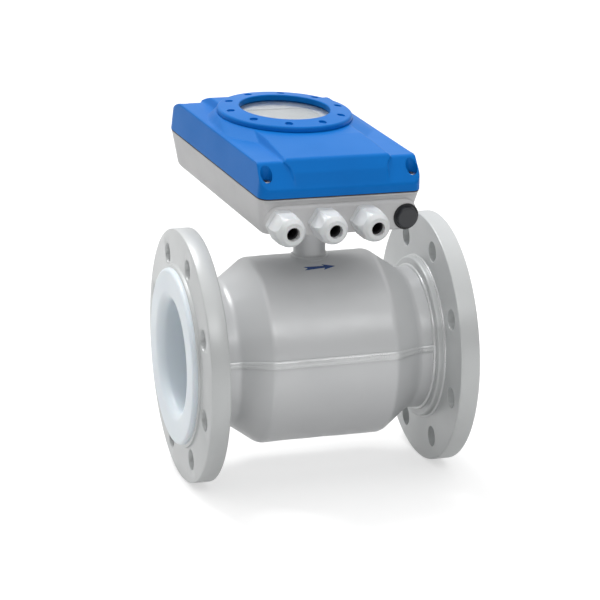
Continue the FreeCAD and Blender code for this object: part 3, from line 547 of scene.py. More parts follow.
flange_out = outlet_flange()
flange_in = copied(flange_out, "inlet_flange_casting", Matrix.Scale(-1, 4, (1, 0, 0)))
settle(flange_out, "meter", METER, flange_paint_painted_shade, "sensor_paint", "outlet_flange")
settle(flange_in, "meter", METER, flange_paint_painted_shade, "sensor_paint", "inlet_flange")


# ------------------------------------------------------------------- sensor: lining and tube
BORE_R, LINING_R, COLLAR_R = 48.5, 53.5, 76.5
BORE_ROUND, COLLAR_ROUND = 8.5, 3.0
POCKET_R, POCKET_FROM, POCKET_CUT = 4.5, 44.0, 6.4         # round the electrodes


def flow_lining():
    half = [(FACE_X, BORE_R), (FACE_X, COLLAR_R), (RAISED_X, COLLAR_R), (RAISED_X, LINING_R)]
    radii = [BORE_ROUND, COLLAR_ROUND, 0, 0]
    outline = lathe_outline([(-x, r) for x, r in half] + half[::-1], radii + radii[::-1], steps=10)
    lining = turned("flow_lining", outline)
    for side in (-1, 1):
        cut(lining, rod("pocket", POCKET_R, (0, POCKET_FROM * side, 0), (0, side, 0), POCKET_CUT, 40))
    return smooth_finish(lining)


settle(flow_lining(), "meter", METER, liner_white, "liner_plastic", "liner")


# ------------------------------------------------------------------------- sensor: housing
SHELL_ROUND = 10.0
RIPPLES = ((38.0, 0.9), (13.0, 0.16))                     # size and depth of the sheet's waves
SEAM_SINK, SEAM_SPREAD, SEAM_THICK = 0.5, 4.6, 0.9
BEAD_PLACE, BEAD_WIDTH = 0.62, 0.2                        # across the seam, in half widths
WELD_SCALES = 96


def shell_line(offset, steps):
    """Outline of the pressed housing from hub to hub, moved outwards by offset."""
    neck, crown = NECK_R + offset, SHELL_R + offset
    points = [(-HUB_X, neck, 0), (-CONE_X, neck, 0), (-CREASE_X, crown, 0),
              (CREASE_X, crown, 0), (CONE_X, neck, 0), (HUB_X, neck, 0)]
    return softened(points, [0] + [SHELL_ROUND] * 4 + [0], steps)


def spaced(points, gap):
    """Adds points so that no run of a line is longer than the gap."""
    line = [points[0]]
    for before, after in zip(points, points[1:]):
        count = max(1, int((after - before).length / gap))
        line += [before.lerp(after, (index + 1) / count) for index in range(count)]
    return line


def housing():
    """The two pressed half shells of the magnet housing."""
    outer = spaced(shell_line(0.0, 8), 4.0)
    inner = shell_line(-SHELL_WALL, 4)
    whole = turned("upper_shell", [(p.x, p.y) for p in outer + inner[::-1]])
    for size, depth in RIPPLES:
        ripple(whole, size, depth)
    lower = copied(whole, "lower_shell")
    sliced(whole, (0, 0, 0), (0, 0, -1))
    sliced(lower, (0, 0, 0), (0, 0, 1))
    for half in (whole, lower):
        smooth_finish(half, 50.0)
    return whole, lower


upper_shell, lower_shell = housing()
settle(upper_shell, "meter", METER, silver_paint, "sensor_paint", "upper_housing_shell")
settle(lower_shell, "meter", METER, silver_paint, "sensor_paint", "lower_housing_shell")


def seam(side):
    """Long weld where the half shells meet: a low band with a bead along either edge."""
    line = spaced(shell_line(-SEAM_SINK, 8), 1.6)
    piece = drawn("seam_front" if side < 0 else "seam_rear", [Vector((p.x, 0, p.y)) for p in line])
    bpy.ops.mesh.select_all(action="SELECT")
    spread = math.radians(SEAM_SPREAD)
    bpy.ops.mesh.spin(steps=20, angle=spread, center=(0, 0, 0), axis=(1, 0, 0))
    leave_edit()
    tidy_mesh(piece)
    angles = [math.atan2(-v.co.y, v.co.z) for v in piece.data.vertices]
    middle = (max(angles) + min(angles)) / 2
    for vertex, angle in zip(piece.data.vertices, angles):
        across = (angle - middle) / (spread / 2)
        bead = math.exp(-((abs(across) - BEAD_PLACE) / BEAD_WIDTH) ** 2)
        edge = max(0.0, 1 - abs(across) ** 6)
        wander = noise.noise(Vector((vertex.co.x / 9.0, across * 2, side)))
        rise = SEAM_SINK + edge * (0.25 + 0.75 * bead + 0.12 * wander)
        vertex.co = vertex.co + vertex.co * Vector((0, 1, 1)) * (rise / math.hypot(vertex.co.y, vertex.co.z))
    piece.data.transform(Matrix.Rotation(math.pi / 2 * -side + middle, 4, "X"))
    apply_modifier(piece, "SOLIDIFY", thickness=SEAM_THICK, offset=1.0)
    return smooth_finish(piece, 60.0)


settle(seam(-1), "meter", METER, weld_paint_painted_highlight, "sensor_paint", "front_seam_weld")
settle(seam(1), "meter", METER, weld_paint_painted_highlight, "sensor_paint", "rear_seam_weld")


def weld_ring(name, x, major, minor):
    """Hand-laid weld all round a joint, with the overlapping scales of its passes."""
    deselect_all()
    bpy.ops.mesh.primitive_torus_add(major_segments=288, minor_segments=14, major_radius=major,
                                     minor_radius=minor, rotation=(0, math.pi / 2, 0))
    piece = bpy.context.object
    piece.name = name
    bpy.ops.object.transform_apply(location=True, rotation=True, scale=True)
    for vertex in piece.data.vertices:
        angle = math.atan2(vertex.co.z, vertex.co.y)
        scales = 0.5 + 0.5 * math.sin(angle * WELD_SCALES + vertex.co.x)
        wander = noise.noise(Vector((math.cos(angle) * 4, math.sin(angle) * 4, x)))
        vertex.co += vertex.normal * (0.12 * scales + 0.35 * wander)
    piece.data.transform(Matrix.Translation((x, 0, 0)))
    hold(piece)
    bpy.ops.object.shade_smooth()
    return piece


for joint, place, major, minor in (("neck", 93.4, 63.0, 1.5), ("hub", 100.0, 71.3, 1.1)):
    for end, side in (("inlet", -1), ("outlet", 1)):
        ring = weld_ring("%s_%s_weld" % (end, joint), place * side, major, minor)
        settle(ring, "meter", METER, weld_paint_painted_highlight, "sensor_paint")


# ---------------------------------------------------------------------------- sensor: neck
PIPE_R, PIPE_BORE, PIPE_LOW, PIPE_HIGH = 14.0, 11.5, 70.0, 119.0
FOOT_R, FOOT_TOP, FOOT_END = 18.0, 79.5, 82.6
PIPE_CUT, PLATE_Z, PLATE_HALF, PLATE_THICK = -37.5, -39.0, 24.0, 5.0     # in the head's frame
FOOT_BEAD_R, FOOT_BEAD = 15.2, 1.7


def neck_pipe():
    """Pipe stub with its weld foot, cut off along the head's own plane."""
    outline = lathe_outline(
        [(PIPE_LOW, PIPE_BORE), (PIPE_LOW, FOOT_R), (FOOT_TOP, FOOT_R), (FOOT_END, PIPE_R),
         (PIPE_HIGH, PIPE_R), (PIPE_HIGH, PIPE_BORE)], [0, 0, 0.8, 2.4, 0, 0], steps=5)
    stub = turned("sensor_neck_pipe", outline, axis=(0, 0, 1), steps=96)
    below = slab("below", (-60, -60, -200), (60, 60, PIPE_CUT))
    below.data.transform(HEAD)
    combine(stub, below, "INTERSECT")
    shell_room = rod("shell_room", 79.6, (-60, 0, 0), (1, 0, 0), 120, 192)
    cut(stub, shell_room)
    return smooth_finish(stub)


def neck_point(height):
    """Where the axis of the neck crosses a height of the head's frame."""
    start = HEAD.inverted() @ Vector((0, 0, 0))
    way = HEAD.inverted().to_3x3() @ Vector((0, 0, 1))
    return start + way * ((height - start.z) / way.z)


def neck_plate():
    """Tilted plate on the neck that the head is screwed to."""
    center = neck_point(PLATE_Z)
    corners = [center + PLATE_HALF * Vector((x, y, 0)) for x, y in ((-1, -1), (1, -1), (1, 1), (-1, 1))]
    plate = pushed("neck_plate", softened(corners, [6.0] * 4), (0, 0, PLATE_THICK))
    rounded_edges(plate, 0.6)
    return smooth_finish(plate)


def foot_weld():
    """Weld bead round the foot of the neck, following the crown of the shell."""
    deselect_all()
    bpy.ops.mesh.primitive_torus_add(major_segments=160, minor_segments=12,
                                     major_radius=FOOT_BEAD_R, minor_radius=FOOT_BEAD)
    piece = bpy.context.object
    piece.name = "neck_foot_weld"
    for vertex in piece.data.vertices:
        angle = math.atan2(vertex.co.y, vertex.co.x)
        vertex.co += vertex.normal * 0.14 * math.sin(angle * 34)
        flat = vertex.co.copy()
        reach = math.sqrt(max(0.0, SHELL_R ** 2 - flat.y ** 2))
        vertex.co.z = flat.z + reach + 0.3
    hold(piece)
    bpy.ops.object.shade_smooth()
    return piece


settle(neck_pipe(), "meter", METER, silver_paint, "sensor_paint", "sensor_neck")
settle(neck_plate(), "meter", HEAD, silver_paint, "sensor_paint")
settle(foot_weld(), "meter", METER, weld_paint_painted_highlight, "sensor_paint")


# --------------------------------------------------------------------------- flow arrow
ARROW_LEAN = 20.5             # degrees from the crown towards the gland side


def flow_arrow():
    """Printed arrow on the crown of the shell, pointing downstream."""
    tail, neck, tip = -13.4, 5.0, 14.6
    outline = [(tail, 1.9), (neck, 1.5), (neck - 1.6, 4.3), (tip, 0.0), (neck - 1.6, -4.3),
               (neck, -1.5), (tail, -2.9), (tail + 3.2, -0.6)]
    arrow = drawn("flow_arrow", [Vector((x, y, SHELL_R + 12)) for x, y in outline])
    bpy.ops.mesh.select_all(action="SELECT")
    bpy.ops.mesh.edge_face_add()
    for index in range(1, 28):
        bpy.ops.mesh.select_all(action="SELECT")
        bpy.ops.mesh.bisect(plane_co=(tail + index, 0, 0), plane_no=(1, 0, 0))
    for index in range(-8, 9):
        bpy.ops.mesh.select_all(action="SELECT")
        bpy.ops.mesh.bisect(plane_co=(0, index * 0.5, 0), plane_no=(0, 1, 0))
    leave_edit()
    arrow.data.transform(about(ARROW_LEAN, "X"))
    upper = copied(upper_shell, "arrow_bed", Matrix.Scale(1 / MM, 4))
    apply_modifier(arrow, "SHRINKWRAP", target=upper, wrap_method="PROJECT", wrap_mode="ABOVE_SURFACE",
                   use_negative_direction=True, use_positive_direction=True, offset=0.12)
    bpy.data.objects.remove(upper)
    apply_modifier(arrow, "SOLIDIFY", thickness=0.1, offset=-1.0)
    hold(arrow)
    bpy.ops.object.shade_smooth()
    return arrow


settle(flow_arrow(), "meter", METER, arrow_blue, "cover_blue")


# ----------------------------------------------------------------------- converter: cover
CASE_HALF, CASE_FRONT, CASE_REAR = 74.2, -80.0, 152.0
SHELF_Z, STRAP_Z, STRAP_HALF = 27.0, 33.0, 43.5
RING_Y, DISC_R, HUMP_TOP_R = 54.4, 67.0, 60.6
SCREW_PLACES = [(x, y) for x in (-66.1, 66.1) for y in (-70.0, 129.0)]
BELOW = -6.0                  # castings are made past the parting plane and cut there
WALL, POST_R, SCREW_HOLE_R = 3.5, 7.6, 2.8
COUNTERBORE_R, COUNTERBORE_Z = 5.2, 8.0
WINDOW_HOLE_R, GLASS_SEAT_R, GLASS_SEAT_Z = 43.0, 50.3, 30.0
FRONT_ROUND, REAR_ROUND = 9.0, 18.0
WIDE = 90.0                   # past either side of the case


def plan_block(name, inset, bottom, top, draft):
    """Drafted block of the case plan with its small front and larger rear corners."""
    half = CASE_HALF - inset
    y0, y1 = CASE_FRONT + inset, CASE_REAR - inset
    corners = [(-half, y0, bottom), (half, y0, bottom), (half, y1, bottom), (-half, y1, bottom)]
    outline = softened(corners, [FRONT_ROUND - inset / 2] * 2 + [REAR_ROUND - inset / 2] * 2, steps=10)
    block = pushed(name, outline, (0, 0, top - bottom))
    pick(block, "vertices", lambda c, v: abs(c.z - top) < 0.01)
    middle = (0, (y0 + y1) / 2, top)
    grow = ((half - draft[0]) / half, (y1 - y0 - 2 * draft[1]) / (y1 - y0), 1)
    bpy.ops.transform.resize(value=grow, center_override=middle)
    leave_edit()
    return block


def side_block(name, outline, radii):
    """Solid pushed across the case from its side outline of (y, z)."""
    line = softened([(-WIDE, y, z) for y, z in outline], radii, steps=10)
    return pushed(name, line, (2 * WIDE, 0, 0))


def shelf_body(inset):
    y0, y1 = CASE_FRONT + inset, CASE_REAR - inset
    top = SHELF_Z - inset
    shelf = plan_block("shelf", inset, BELOW, SHELF_Z, (2.0, 0.0))
    roof = side_block("roof", [(y0, BELOW), (y1, BELOW), (y1, 13.0), (y1 - 25.0, top), (y0 + 17.0, top),
                               (y0, 7.0)], [0, 0, 14.0, 30.0, 5.0, 3.0])
    return combine(shelf, roof, "INTERSECT")


def strap_body():
    """Raised band over the middle of the cover; its sides lean out to a foot on the shelf."""
    y0, y1 = CASE_FRONT, CASE_REAR
    strap = side_block("strap", [(y0 + 3.0, BELOW), (y1, BELOW), (y1, 13.0), (y1 - 30.0, STRAP_Z),
                                 (RING_Y - DISC_R, STRAP_Z), (y0 + 16.3, 29.2), (y0 + 7.6, 19.0),
                                 (y0 + 0.5, 7.2)], [0, 0, 14.0, 30.0, 24.0, 6.0, 14.0, 3.0])
    half, low, foot = STRAP_HALF + 1.0, STRAP_HALF - 4.0, STRAP_HALF + 5.5
    right = [(low, BELOW), (half, SHELF_Z - 4.0), (foot, SHELF_Z - 0.4), (half, STRAP_Z + 0.5)]
    section = [(-low, BELOW)] + right + [(-x, z) for x, z in right[:0:-1]]
    bar = pushed("bar", [Vector((x, y0 - 5.0, z)) for x, z in section], (0, y1 - y0 + 10.0, 0))
    combine(strap, bar, "INTERSECT")
    return combine(strap, plan_block("bounds", 0.0, BELOW, 60.0, (0.0, 0.0)), "INTERSECT")


def hump_body():
    """Round hump under the window ring; its foot on the shelf is wider in front of the ring."""
    wide, back, narrow, front, foot_z = 70.5, 12.0, 50.0, -14.0, SHELF_Z - 1.0
    half = [(DISC_R, RING_Y, foot_z), (wide, back, foot_z), (narrow, front, foot_z)]
    outline = softened([(-x, y, z) for x, y, z in half] + half[::-1], [0, 12.0, 0, 0, 12.0, 0])
    hump = drawn("hump", outline)
    bpy.ops.mesh.primitive_circle_add(vertices=96, radius=DISC_R, location=(0, RING_Y, foot_z))
    bpy.ops.mesh.primitive_circle_add(vertices=96, radius=HUMP_TOP_R, location=(0, RING_Y, STRAP_Z))
    bpy.ops.mesh.select_all(action="SELECT")
    bpy.ops.mesh.convex_hull()
    leave_edit()
    return tidy_mesh(hump)


def screw_posts(radius, bottom, top):
    return joined([rod("post", radius, (x, y, bottom), (0, 0, 1), top - bottom) for x, y in SCREW_PLACES])


def converter_cover():
    cover = shelf_body(0.0)
    for body in (strap_body(), hump_body()):
        combine(cover, body, "UNION")
    cast_finish(cover, 0.9, 3, 0.4)
    sliced(cover, (0, 0, 0), (0, 0, -1))
    cut(cover, screw_posts(COUNTERBORE_R, COUNTERBORE_Z, 60.0))
    hollow = shelf_body(WALL)
    cut(hollow, screw_posts(POST_R, BELOW - 1.0, 60.0))
    combine(hollow, rod("window_hole", WINDOW_HOLE_R, (0, RING_Y, 10.0), (0, 0, 1), 50.0, 128), "UNION")
    cut(cover, hollow)
    cut(cover, rod("glass_seat", GLASS_SEAT_R, (0, RING_Y, GLASS_SEAT_Z), (0, 0, 1), 20.0, 128))
    cut(cover, screw_posts(SCREW_HOLE_R, -5.0, 20.0))
    hold(cover)
    bpy.ops.object.shade_smooth_by_angle(angle=math.radians(40))
    cover.name = "cover_casting"
    return cover


settle(converter_cover(), "cover", HEAD, cover_blue, "cover_blue", "converter_cover")


RING_FOOT, RING_OUT_Z, RING_IN_Z, RING_LIP_Z = 33.0, 37.7, 39.9, 34.8
RING_OUT, RING_IN, SPIGOT_OUT, SPIGOT_IN = 59.5, 39.8, 50.0, 47.5
DIMPLE_R, DIMPLE_CIRCLE, DIMPLE_FLOOR, DIMPLES = 3.5, 50.6, 37.0, 10
GLASS_R, GLASS_Z, GLASS_THICK = 47.0, 30.8, 4.0
MOUTH_Z = 37.9                # the mouths of the dimples lie above this


def on_dimple_rim(place):
    """True for the edges round the mouths of the dimples, before the ring is put in place."""
    return place.z >= MOUTH_Z and on_small_circles(place.x, place.y, DIMPLE_CIRCLE, DIMPLES, 0, DIMPLE_R)


def window_bezel():
    """Dished ring that holds the glass, with ten blind dimples."""
    ring = turned("window_bezel", lathe_outline(
        [(RING_FOOT, SPIGOT_OUT), (RING_FOOT, RING_OUT), (RING_OUT_Z, RING_OUT), (RING_IN_Z, RING_IN),
         (RING_LIP_Z, RING_IN), (RING_LIP_Z, SPIGOT_IN), (GLASS_SEAT_Z, SPIGOT_IN),
         (GLASS_SEAT_Z, SPIGOT_OUT)], [0, 0.8, 2.6, 1.3, 0.3, 0, 0, 0]), axis=(0, 0, 1), steps=240)
    dimple = rod("dimple", DIMPLE_R, (DIMPLE_CIRCLE, 0, DIMPLE_FLOOR), (0, 0, 1), 8.0, 40)
    pick(dimple, "edges", lambda c, e: abs(c.z - DIMPLE_FLOOR) < 0.01)
    bpy.ops.mesh.bevel(offset=0.9, segments=4)
    leave_edit()
    cut(ring, ring_of(dimple, DIMPLES, "Z"))
    pick(ring, "edges", lambda c, e: on_dimple_rim(c))
    bpy.ops.mesh.bevel(offset=0.4, segments=3)
    leave_edit()
    ring.data.transform(Matrix.Translation((0, RING_Y, 0)))
    return smooth_finish(ring)


settle(window_bezel(), "cover", HEAD, cover_blue, "cover_blue", "window_ring")


def glass_disc():
    pane = rod("window_pane", GLASS_R, (0, RING_Y, GLASS_Z), (0, 0, 1), GLASS_THICK, 160)
    rounded_edges(pane, 0.3, 2)
    return smooth_finish(pane)


settle(glass_disc(), "cover", HEAD, window_pane, "window_glass", "window_glass")


SCREW_HEAD_R, SCREW_HEAD_TALL, KEY_R, KEY_FLOOR = 4.3, 5.0, 2.3, 2.2
SHANK_R, SHANK_LONG = 2.5, 20.0


def screw(name, seat):
    """Socket head screw standing on the Z axis, its head resting at the seat."""
    head = rod(name, SCREW_HEAD_R, (0, 0, seat), (0, 0, 1), SCREW_HEAD_TALL, 64)
    pick(head, "edges", lambda c, e: c.z > seat + SCREW_HEAD_TALL - 0.01)
    bpy.ops.mesh.bevel(offset=0.5, segments=3)
    leave_edit()
    cut(head, rod("socket", KEY_R, (0, 0, seat + KEY_FLOOR), (0, 0, 1), 5.0, 6))
    combine(head, rod("shank", SHANK_R, (0, 0, seat - SHANK_LONG), (0, 0, 1), SHANK_LONG + 0.5, 32), "UNION")
    return smooth_finish(head)


def cover_screw_set():
    first = screw("cover_screw_set", COUNTERBORE_Z)
    rest = [copied(first, "screw", Matrix.Translation((x, y, 0))) for x, y in SCREW_PLACES[1:]]
    first.data.transform(Matrix.Translation((*SCREW_PLACES[0], 0)))
    return joined([first] + rest)


settle(cover_screw_set(), "cover", HEAD, bare_steel, "stainless", "cover_screws")


# ------------------------------------------------------------------------ converter: base
BASE_TOP, BASE_FLOOR = -1.2, -32.5
ENTRY_Z, PAD_Y, PAD_R = -21.5, -81.5, 12.0
PAD_LOW, PAD_HIGH, PAD_EDGE, PAD_DEEP = -33.5, -6.6, 3.2, 18.0
LIP_TALL, LIP_BACK = 1.6, -77.3        # rim over the front wall, and the wall's face below it
FRONT_WALL_IN, FRONT_WALL_TOP, ENTRY_HOLE_R = -68.0, -4.7, 10.0
ENTRIES = [-55.4, -17.27, 20.87, 59.0]


def base_body(inset, floor):
    block = plan_block("base", inset, 5.0, floor, (8.0, 5.5))
    edge = CASE_REAR - inset
    side = side_block("side", [(-WIDE, 5.0), (-WIDE, floor), (edge, floor), (edge, 5.0)],
                      [0, 0, 26.0 - inset, 0])
    return combine(block, side, "INTERSECT")


def entry_pad():
    """Boss along the four cable entries, with a broad rounded rim."""
    left, right = ENTRIES[0] - PAD_R, ENTRIES[-1] + PAD_R - 1.5
    corners = [(left, PAD_Y, PAD_LOW), (right, PAD_Y, PAD_LOW),
               (right, PAD_Y, PAD_HIGH), (left, PAD_Y, PAD_HIGH)]
    pad = pushed("pad", softened(corners, [PAD_R] * 4, steps=12), (0, PAD_DEEP, 0))
    pick(pad, "edges", lambda c, e: c.y < PAD_Y + 0.01)
    bpy.ops.mesh.bevel(offset=PAD_EDGE, segments=6)
    leave_edit()
    return pad


def converter_base():
    base = base_body(-0.5, BASE_FLOOR)
    cast_finish(base, 1.0, 3, 0.5)
    sliced(base, (0, 0, BASE_TOP), (0, 0, 1))
    pick(base, "edges", lambda c, e: c.z > BASE_TOP - 0.01)
    bpy.ops.mesh.bevel(offset=0.6, segments=2)
    leave_edit()
    cut(base, slab("below_rim", (-WIDE, -95, -50), (WIDE, LIP_BACK, BASE_TOP - LIP_TALL)))
    combine(base, entry_pad(), "UNION")
    hollow = base_body(WALL, BASE_FLOOR + WALL)
    cut(hollow, slab("front_wall", (-WIDE, -95, -50), (WIDE, FRONT_WALL_IN, FRONT_WALL_TOP)))
    cut(hollow, screw_posts(POST_R, -60.0, 20.0))
    cut(base, hollow)
    holes = [rod("hole", ENTRY_HOLE_R, (x, -95.0, ENTRY_Z), (0, 1, 0), 40.0) for x in ENTRIES]
    cut(base, joined(holes + [screw_posts(SCREW_HOLE_R, -13.0, 17.0)]))
    hold(base)
    bpy.ops.object.shade_smooth_by_angle(angle=math.radians(40))
    base.name = "base_casting"
    return base


settle(converter_base(), "meter", HEAD, case_grey, "case_grey", "converter_base")


# ------------------------------------------------------------------------------- glands
# A gland is modelled once, standing on the Z axis with its seat at z = 0, and copied to the entries.
GLAND_FLAT, FLANGE_LONG, NUT_GAP, NUT_LONG = 12.0, 5.5, 0.5, 23.0
MOUTH_R, SOCKET_R, SEAT_Y = 5.9, 9.9, -81.0
SLEEVE_R, SLEEVE_BORE, THREAD_LONG = 9.6, 8.0, 12.0
BUSH_BORE, BUSH_LONG, BUSH_SINK = 5.0, 13.0, 5.3


def entry_seat(x):
    """Turns the Z axis of a piece to point out of the case at an entry."""
    return HEAD @ Matrix.Translation((x, SEAT_Y, ENTRY_Z)) @ Matrix.Rotation(math.pi / 2, 4, "X")


def hex_bar(name, half_flat, bottom, length):
    bar = rod(name, half_flat / math.cos(math.pi / 6), (0, 0, bottom), (0, 0, 1), length, 6)
    bar.data.transform(about(30.0, "Z"))
    return bar


def gland_body():
    body = hex_bar("gland_body", GLAND_FLAT, 0.0, FLANGE_LONG)
    form = turned("form", lathe_outline(
        [(-1, 0), (-1, 12.6), (0, 12.9), (0.8, 13.75), (FLANGE_LONG - 0.8, 13.75), (FLANGE_LONG, 13.0),
         (FLANGE_LONG + 1, 12.6), (FLANGE_LONG + 1, 0)], [0] * 8), axis=(0, 0, 1), steps=96)
    combine(body, form, "INTERSECT")
    rounded_edges(body, 0.4, 3, 25.0)
    sleeve = turned("sleeve", [(-THREAD_LONG, SLEEVE_BORE), (-THREAD_LONG, ENTRY_HOLE_R),
                               (0.5, ENTRY_HOLE_R), (5.4, SLEEVE_R), (17.0, SLEEVE_R), (17.0, SLEEVE_BORE)],
                    axis=(0, 0, 1), steps=64)
    cut(body, rod("through", 9.0, (0, 0, -2.0), (0, 0, 1), 10.0, 64))
    joined([body, sleeve])
    return smooth_finish(body)


def gland_nut():
    """Clamping nut: six flats at the back that run out on a round, closing nose."""
    back = FLANGE_LONG + NUT_GAP
    nut = hex_bar("gland_nut", GLAND_FLAT, back, NUT_LONG)
    nose = back + NUT_LONG
    form = turned("form", lathe_outline(
        [(back - 1, 0), (back - 1, 12.4), (back, 13.0), (back + 0.8, 13.9), (back + 9.0, 13.9),
         (nose - 4.4, 12.5), (nose, 9.2), (nose, 0)], [0, 0, 0, 0.6, 7.0, 5.5, 1.4, 0]),
        axis=(0, 0, 1), steps=128)
    combine(nut, form, "INTERSECT")
    cut(nut, rod("mouth", MOUTH_R, (0, 0, back), (0, 0, 1), 40.0, 64))
    cut(nut, rod("socket", SOCKET_R, (0, 0, back - 1.0), (0, 0, 1), NUT_LONG - 4.0, 64))
    rounded_edges(nut, 0.5, 3, 22.0)
    return smooth_finish(nut, 30.0)


def gland_bush():
    front = FLANGE_LONG + NUT_GAP + NUT_LONG - BUSH_SINK
    back = front - BUSH_LONG
    bush = turned("gland_bush", lathe_outline(
        [(back, BUSH_BORE), (back, SLEEVE_BORE), (front, SLEEVE_BORE), (front, BUSH_BORE)],
        [1.2, 0.6, 0.6, 1.6]), axis=(0, 0, 1), steps=64)
    return smooth_finish(bush)


def three_glands():
    parts = ((gland_body(), "gland_body_%d", "meter", gland_white, "gland_plastic"),
             (gland_nut(), "gland_nut_%d", "clamping_nut_%d", gland_white, "gland_plastic"),
             (gland_bush(), "gland_seal_%d", "meter", seal_rubber, "black_rubber"))
    for number, x in enumerate(ENTRIES[:3], 1):
        for first, name, body, coat, slot in parts:
            label = name % number
            piece = copied(first, label.replace("gland", "cable_gland"))
            settle(piece, body % number if "%" in body else body, entry_seat(x), coat, slot, label)
    for part in parts:
        bpy.data.objects.remove(part[0])


three_glands()


PLUG_FLAT, PLUG_R, PLUG_TIP_R = 8.7, 9.4, 9.0
PLUG_FOOT, PLUG_TALL, STEM_R, STEM_LONG = 1.0, 4.5, 9.9, 12.0


def blanking_plug():
    """Black plug with a low head, faintly six-sided and rounded at its edges."""
    plug = hex_bar("entry_blanking_plug", PLUG_FLAT, PLUG_FOOT, PLUG_TALL)
    tip = PLUG_FOOT + PLUG_TALL
    form = turned("form", lathe_outline(
        [(PLUG_FOOT, 0), (PLUG_FOOT, PLUG_R), (tip, PLUG_TIP_R), (tip, 0)], [0, 0, 1.6, 0]),
        axis=(0, 0, 1), steps=96)
    combine(plug, form, "INTERSECT")
    rounded_edges(plug, 0.6, 3, 22.0)
    joined([plug, rod("stem", STEM_R, (0, 0, PLUG_FOOT - STEM_LONG), (0, 0, 1), STEM_LONG)])
    return smooth_finish(plug)


settle(blanking_plug(), "meter", entry_seat(ENTRIES[-1]), plug_black, "black_plastic", "blanking_plug")

# ----------------------------------------------------------- carried-over nodes and their finish
NODE_FINISHES = {
    "measuring_tube": bare_steel, "neck_gasket": seal_rubber, "neck_screws": bare_steel,
    "upper_pole_shoe": magnet_steel, "lower_pole_shoe": magnet_steel, "magnetic_yoke": magnet_steel,
    "upper_field_coil": coil_copper, "lower_field_coil": coil_copper, "cover_gasket": seal_rubber,
    "window_seal": seal_rubber, "main_board": board_green, "board_standoffs": bare_steel,
    "board_screws": bare_steel, "supply_block": black_moulding, "harness_plug": white_moulding,
    "sensor_harness": black_moulding, "terminal_block": terminal_green, "display_bezel": display_mask,
    "display_lcd": display_screen, "display_pillars": white_moulding, "plug_washer": seal_rubber,
    "front_electrode": bare_steel, "rear_electrode": bare_steel, "front_electrode_nut": bare_steel,
    "rear_electrode_nut": bare_steel, "front_electrode_sleeve": white_moulding,
    "rear_electrode_sleeve": white_moulding,
}
for name, coat in NODE_FINISHES.items():
    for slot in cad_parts[name].material_slots:
        slot.material = coat


# ---------------------------------------------------------------------- stage, light, camera
FLOOR_SIZE, FLOOR_Z, FLOOR_GLOW = 14.0, -0.1102, 0.56
FLOOR_COLOUR = (0.52, 0.52, 0.52, 1)
WHITE = (1, 1, 1, 1)
ROOM_SLANT = (0.0, 0.35, 0.75)
ROOM_FROM, ROOM_TO, ROOM_LOW, ROOM_HIGH = -0.20, 0.85, 0.06, 1.15
CAMERA_PLACE = (-0.612334, -2.030632, 0.571219)
CAMERA_TURN = (75.946, 0.4722, -16.6733)                  # degrees
LENS, SENSOR = 150.81, 36.0


def looked_at(tree):
    """1 for the rays that show the background: straight, in a reflection or through glass."""
    seen = node(tree, "ShaderNodeLightPath")
    mirrored = node(tree, "ShaderNodeMath", operation="MAXIMUM")
    through = node(tree, "ShaderNodeMath", operation="MAXIMUM")
    link(tree, seen, "Is Camera Ray", mirrored, 0)
    link(tree, seen, "Is Glossy Ray", mirrored, 1)
    link(tree, mirrored, 0, through, 0)
    link(tree, seen, "Is Transmission Ray", through, 1)
    return through.outputs[0]


def plain_floor():
    deselect_all()
    bpy.ops.mesh.primitive_plane_add(size=FLOOR_SIZE, location=(0, 0, FLOOR_Z))
    floor = bpy.context.object
    floor.name = "studio_floor"
    material = bpy.data.materials.new("studio_white")
    material.use_nodes = True
    tree = material.node_tree
    skin = tree.nodes["Principled BSDF"]
    skin.inputs["Base Color"].default_value = FLOOR_COLOUR
    skin.inputs["Roughness"].default_value = 0.9
    skin.inputs["Emission Color"].default_value = WHITE
    lift = node(tree, "ShaderNodeMath", {1: FLOOR_GLOW}, operation="MULTIPLY")
    tree.links.new(looked_at(tree), lift.inputs[0])
    link(tree, lift, 0, skin, "Emission Strength")
    floor.data.materials.append(material)


def soft_light(name, place, aim, size, power):
    lamp = bpy.data.lights.new(name, "AREA")
    lamp.shape = "RECTANGLE"
    lamp.size, lamp.size_y = size
    lamp.energy = power
    holder = bpy.data.objects.new(name, lamp)
    holder.location = place
    holder.rotation_euler = (Vector(aim) - Vector(place)).to_track_quat("-Z", "Y").to_euler()
    bpy.context.scene.collection.objects.link(holder)


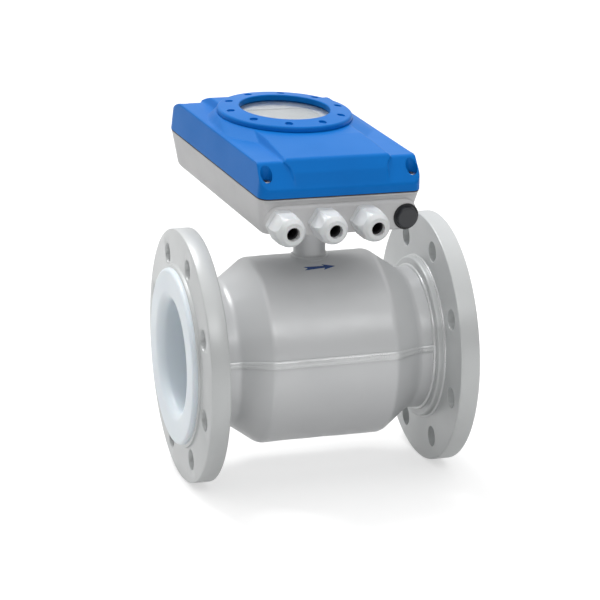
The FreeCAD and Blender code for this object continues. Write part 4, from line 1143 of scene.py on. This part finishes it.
def sun_light(name, source, power, spread):
    lamp = bpy.data.lights.new(name, "SUN")
    lamp.energy = power
    lamp.angle = math.radians(spread)
    holder = bpy.data.objects.new(name, lamp)
    holder.rotation_euler = Vector(source).to_track_quat("Z", "Y").to_euler()
    bpy.context.scene.collection.objects.link(holder)


def studio_world():
    """A white room: bright above and behind the meter, dimmer low in front of it."""
    world = bpy.data.worlds.new("studio")
    bpy.context.scene.world = world
    world.use_nodes = True
    tree = world.node_tree
    tree.nodes.clear()
    out = node(tree, "ShaderNodeOutputWorld")
    where = node(tree, "ShaderNodeTexCoord")
    slant = node(tree, "ShaderNodeVectorMath", {1: ROOM_SLANT}, operation="DOT_PRODUCT")
    level = node(tree, "ShaderNodeMapRange", {"From Min": ROOM_FROM, "From Max": ROOM_TO,
                                              "To Min": ROOM_LOW, "To Max": ROOM_HIGH},
                 interpolation_type="SMOOTHSTEP")
    room = node(tree, "ShaderNodeBackground", {"Color": WHITE})
    seen = node(tree, "ShaderNodeLightPath")
    backdrop = node(tree, "ShaderNodeBackground", {"Color": WHITE, "Strength": 1.0})
    choose = node(tree, "ShaderNodeMixShader")
    link(tree, where, "Generated", slant, 0)
    link(tree, slant, "Value", level, "Value")
    link(tree, level, "Result", room, "Strength")
    link(tree, seen, "Is Camera Ray", choose, 0)
    link(tree, room, 0, choose, 1)
    link(tree, backdrop, 0, choose, 2)
    link(tree, choose, 0, out, "Surface")


def view_camera():
    data = bpy.data.cameras.new("view")
    data.lens = LENS
    data.sensor_width = SENSOR
    data.clip_end = 50.0
    camera = bpy.data.objects.new("view", data)
    camera.location = CAMERA_PLACE
    camera.rotation_euler = [math.radians(a) for a in CAMERA_TURN]
    bpy.context.scene.collection.objects.link(camera)
    bpy.context.scene.camera = camera


plain_floor()
studio_world()
sun_light("high_sun", (-0.12, 0.42, 1.0), 1.4, 14.0)
soft_light("front_high", (0.0, -1.7, 1.25), (0, 0, 0.05), (1.6, 0.5), 9.2)
soft_light("front_right", (1.2, -1.6, 0.7), (0, 0, 0.05), (0.3, 1.1), 0.6)
soft_light("left", (-1.5, -0.7, 1.2), (0, 0, 0.0), (0.4, 1.0), 0.3)
view_camera()
bpy.context.scene.view_settings.view_transform = "Standard"
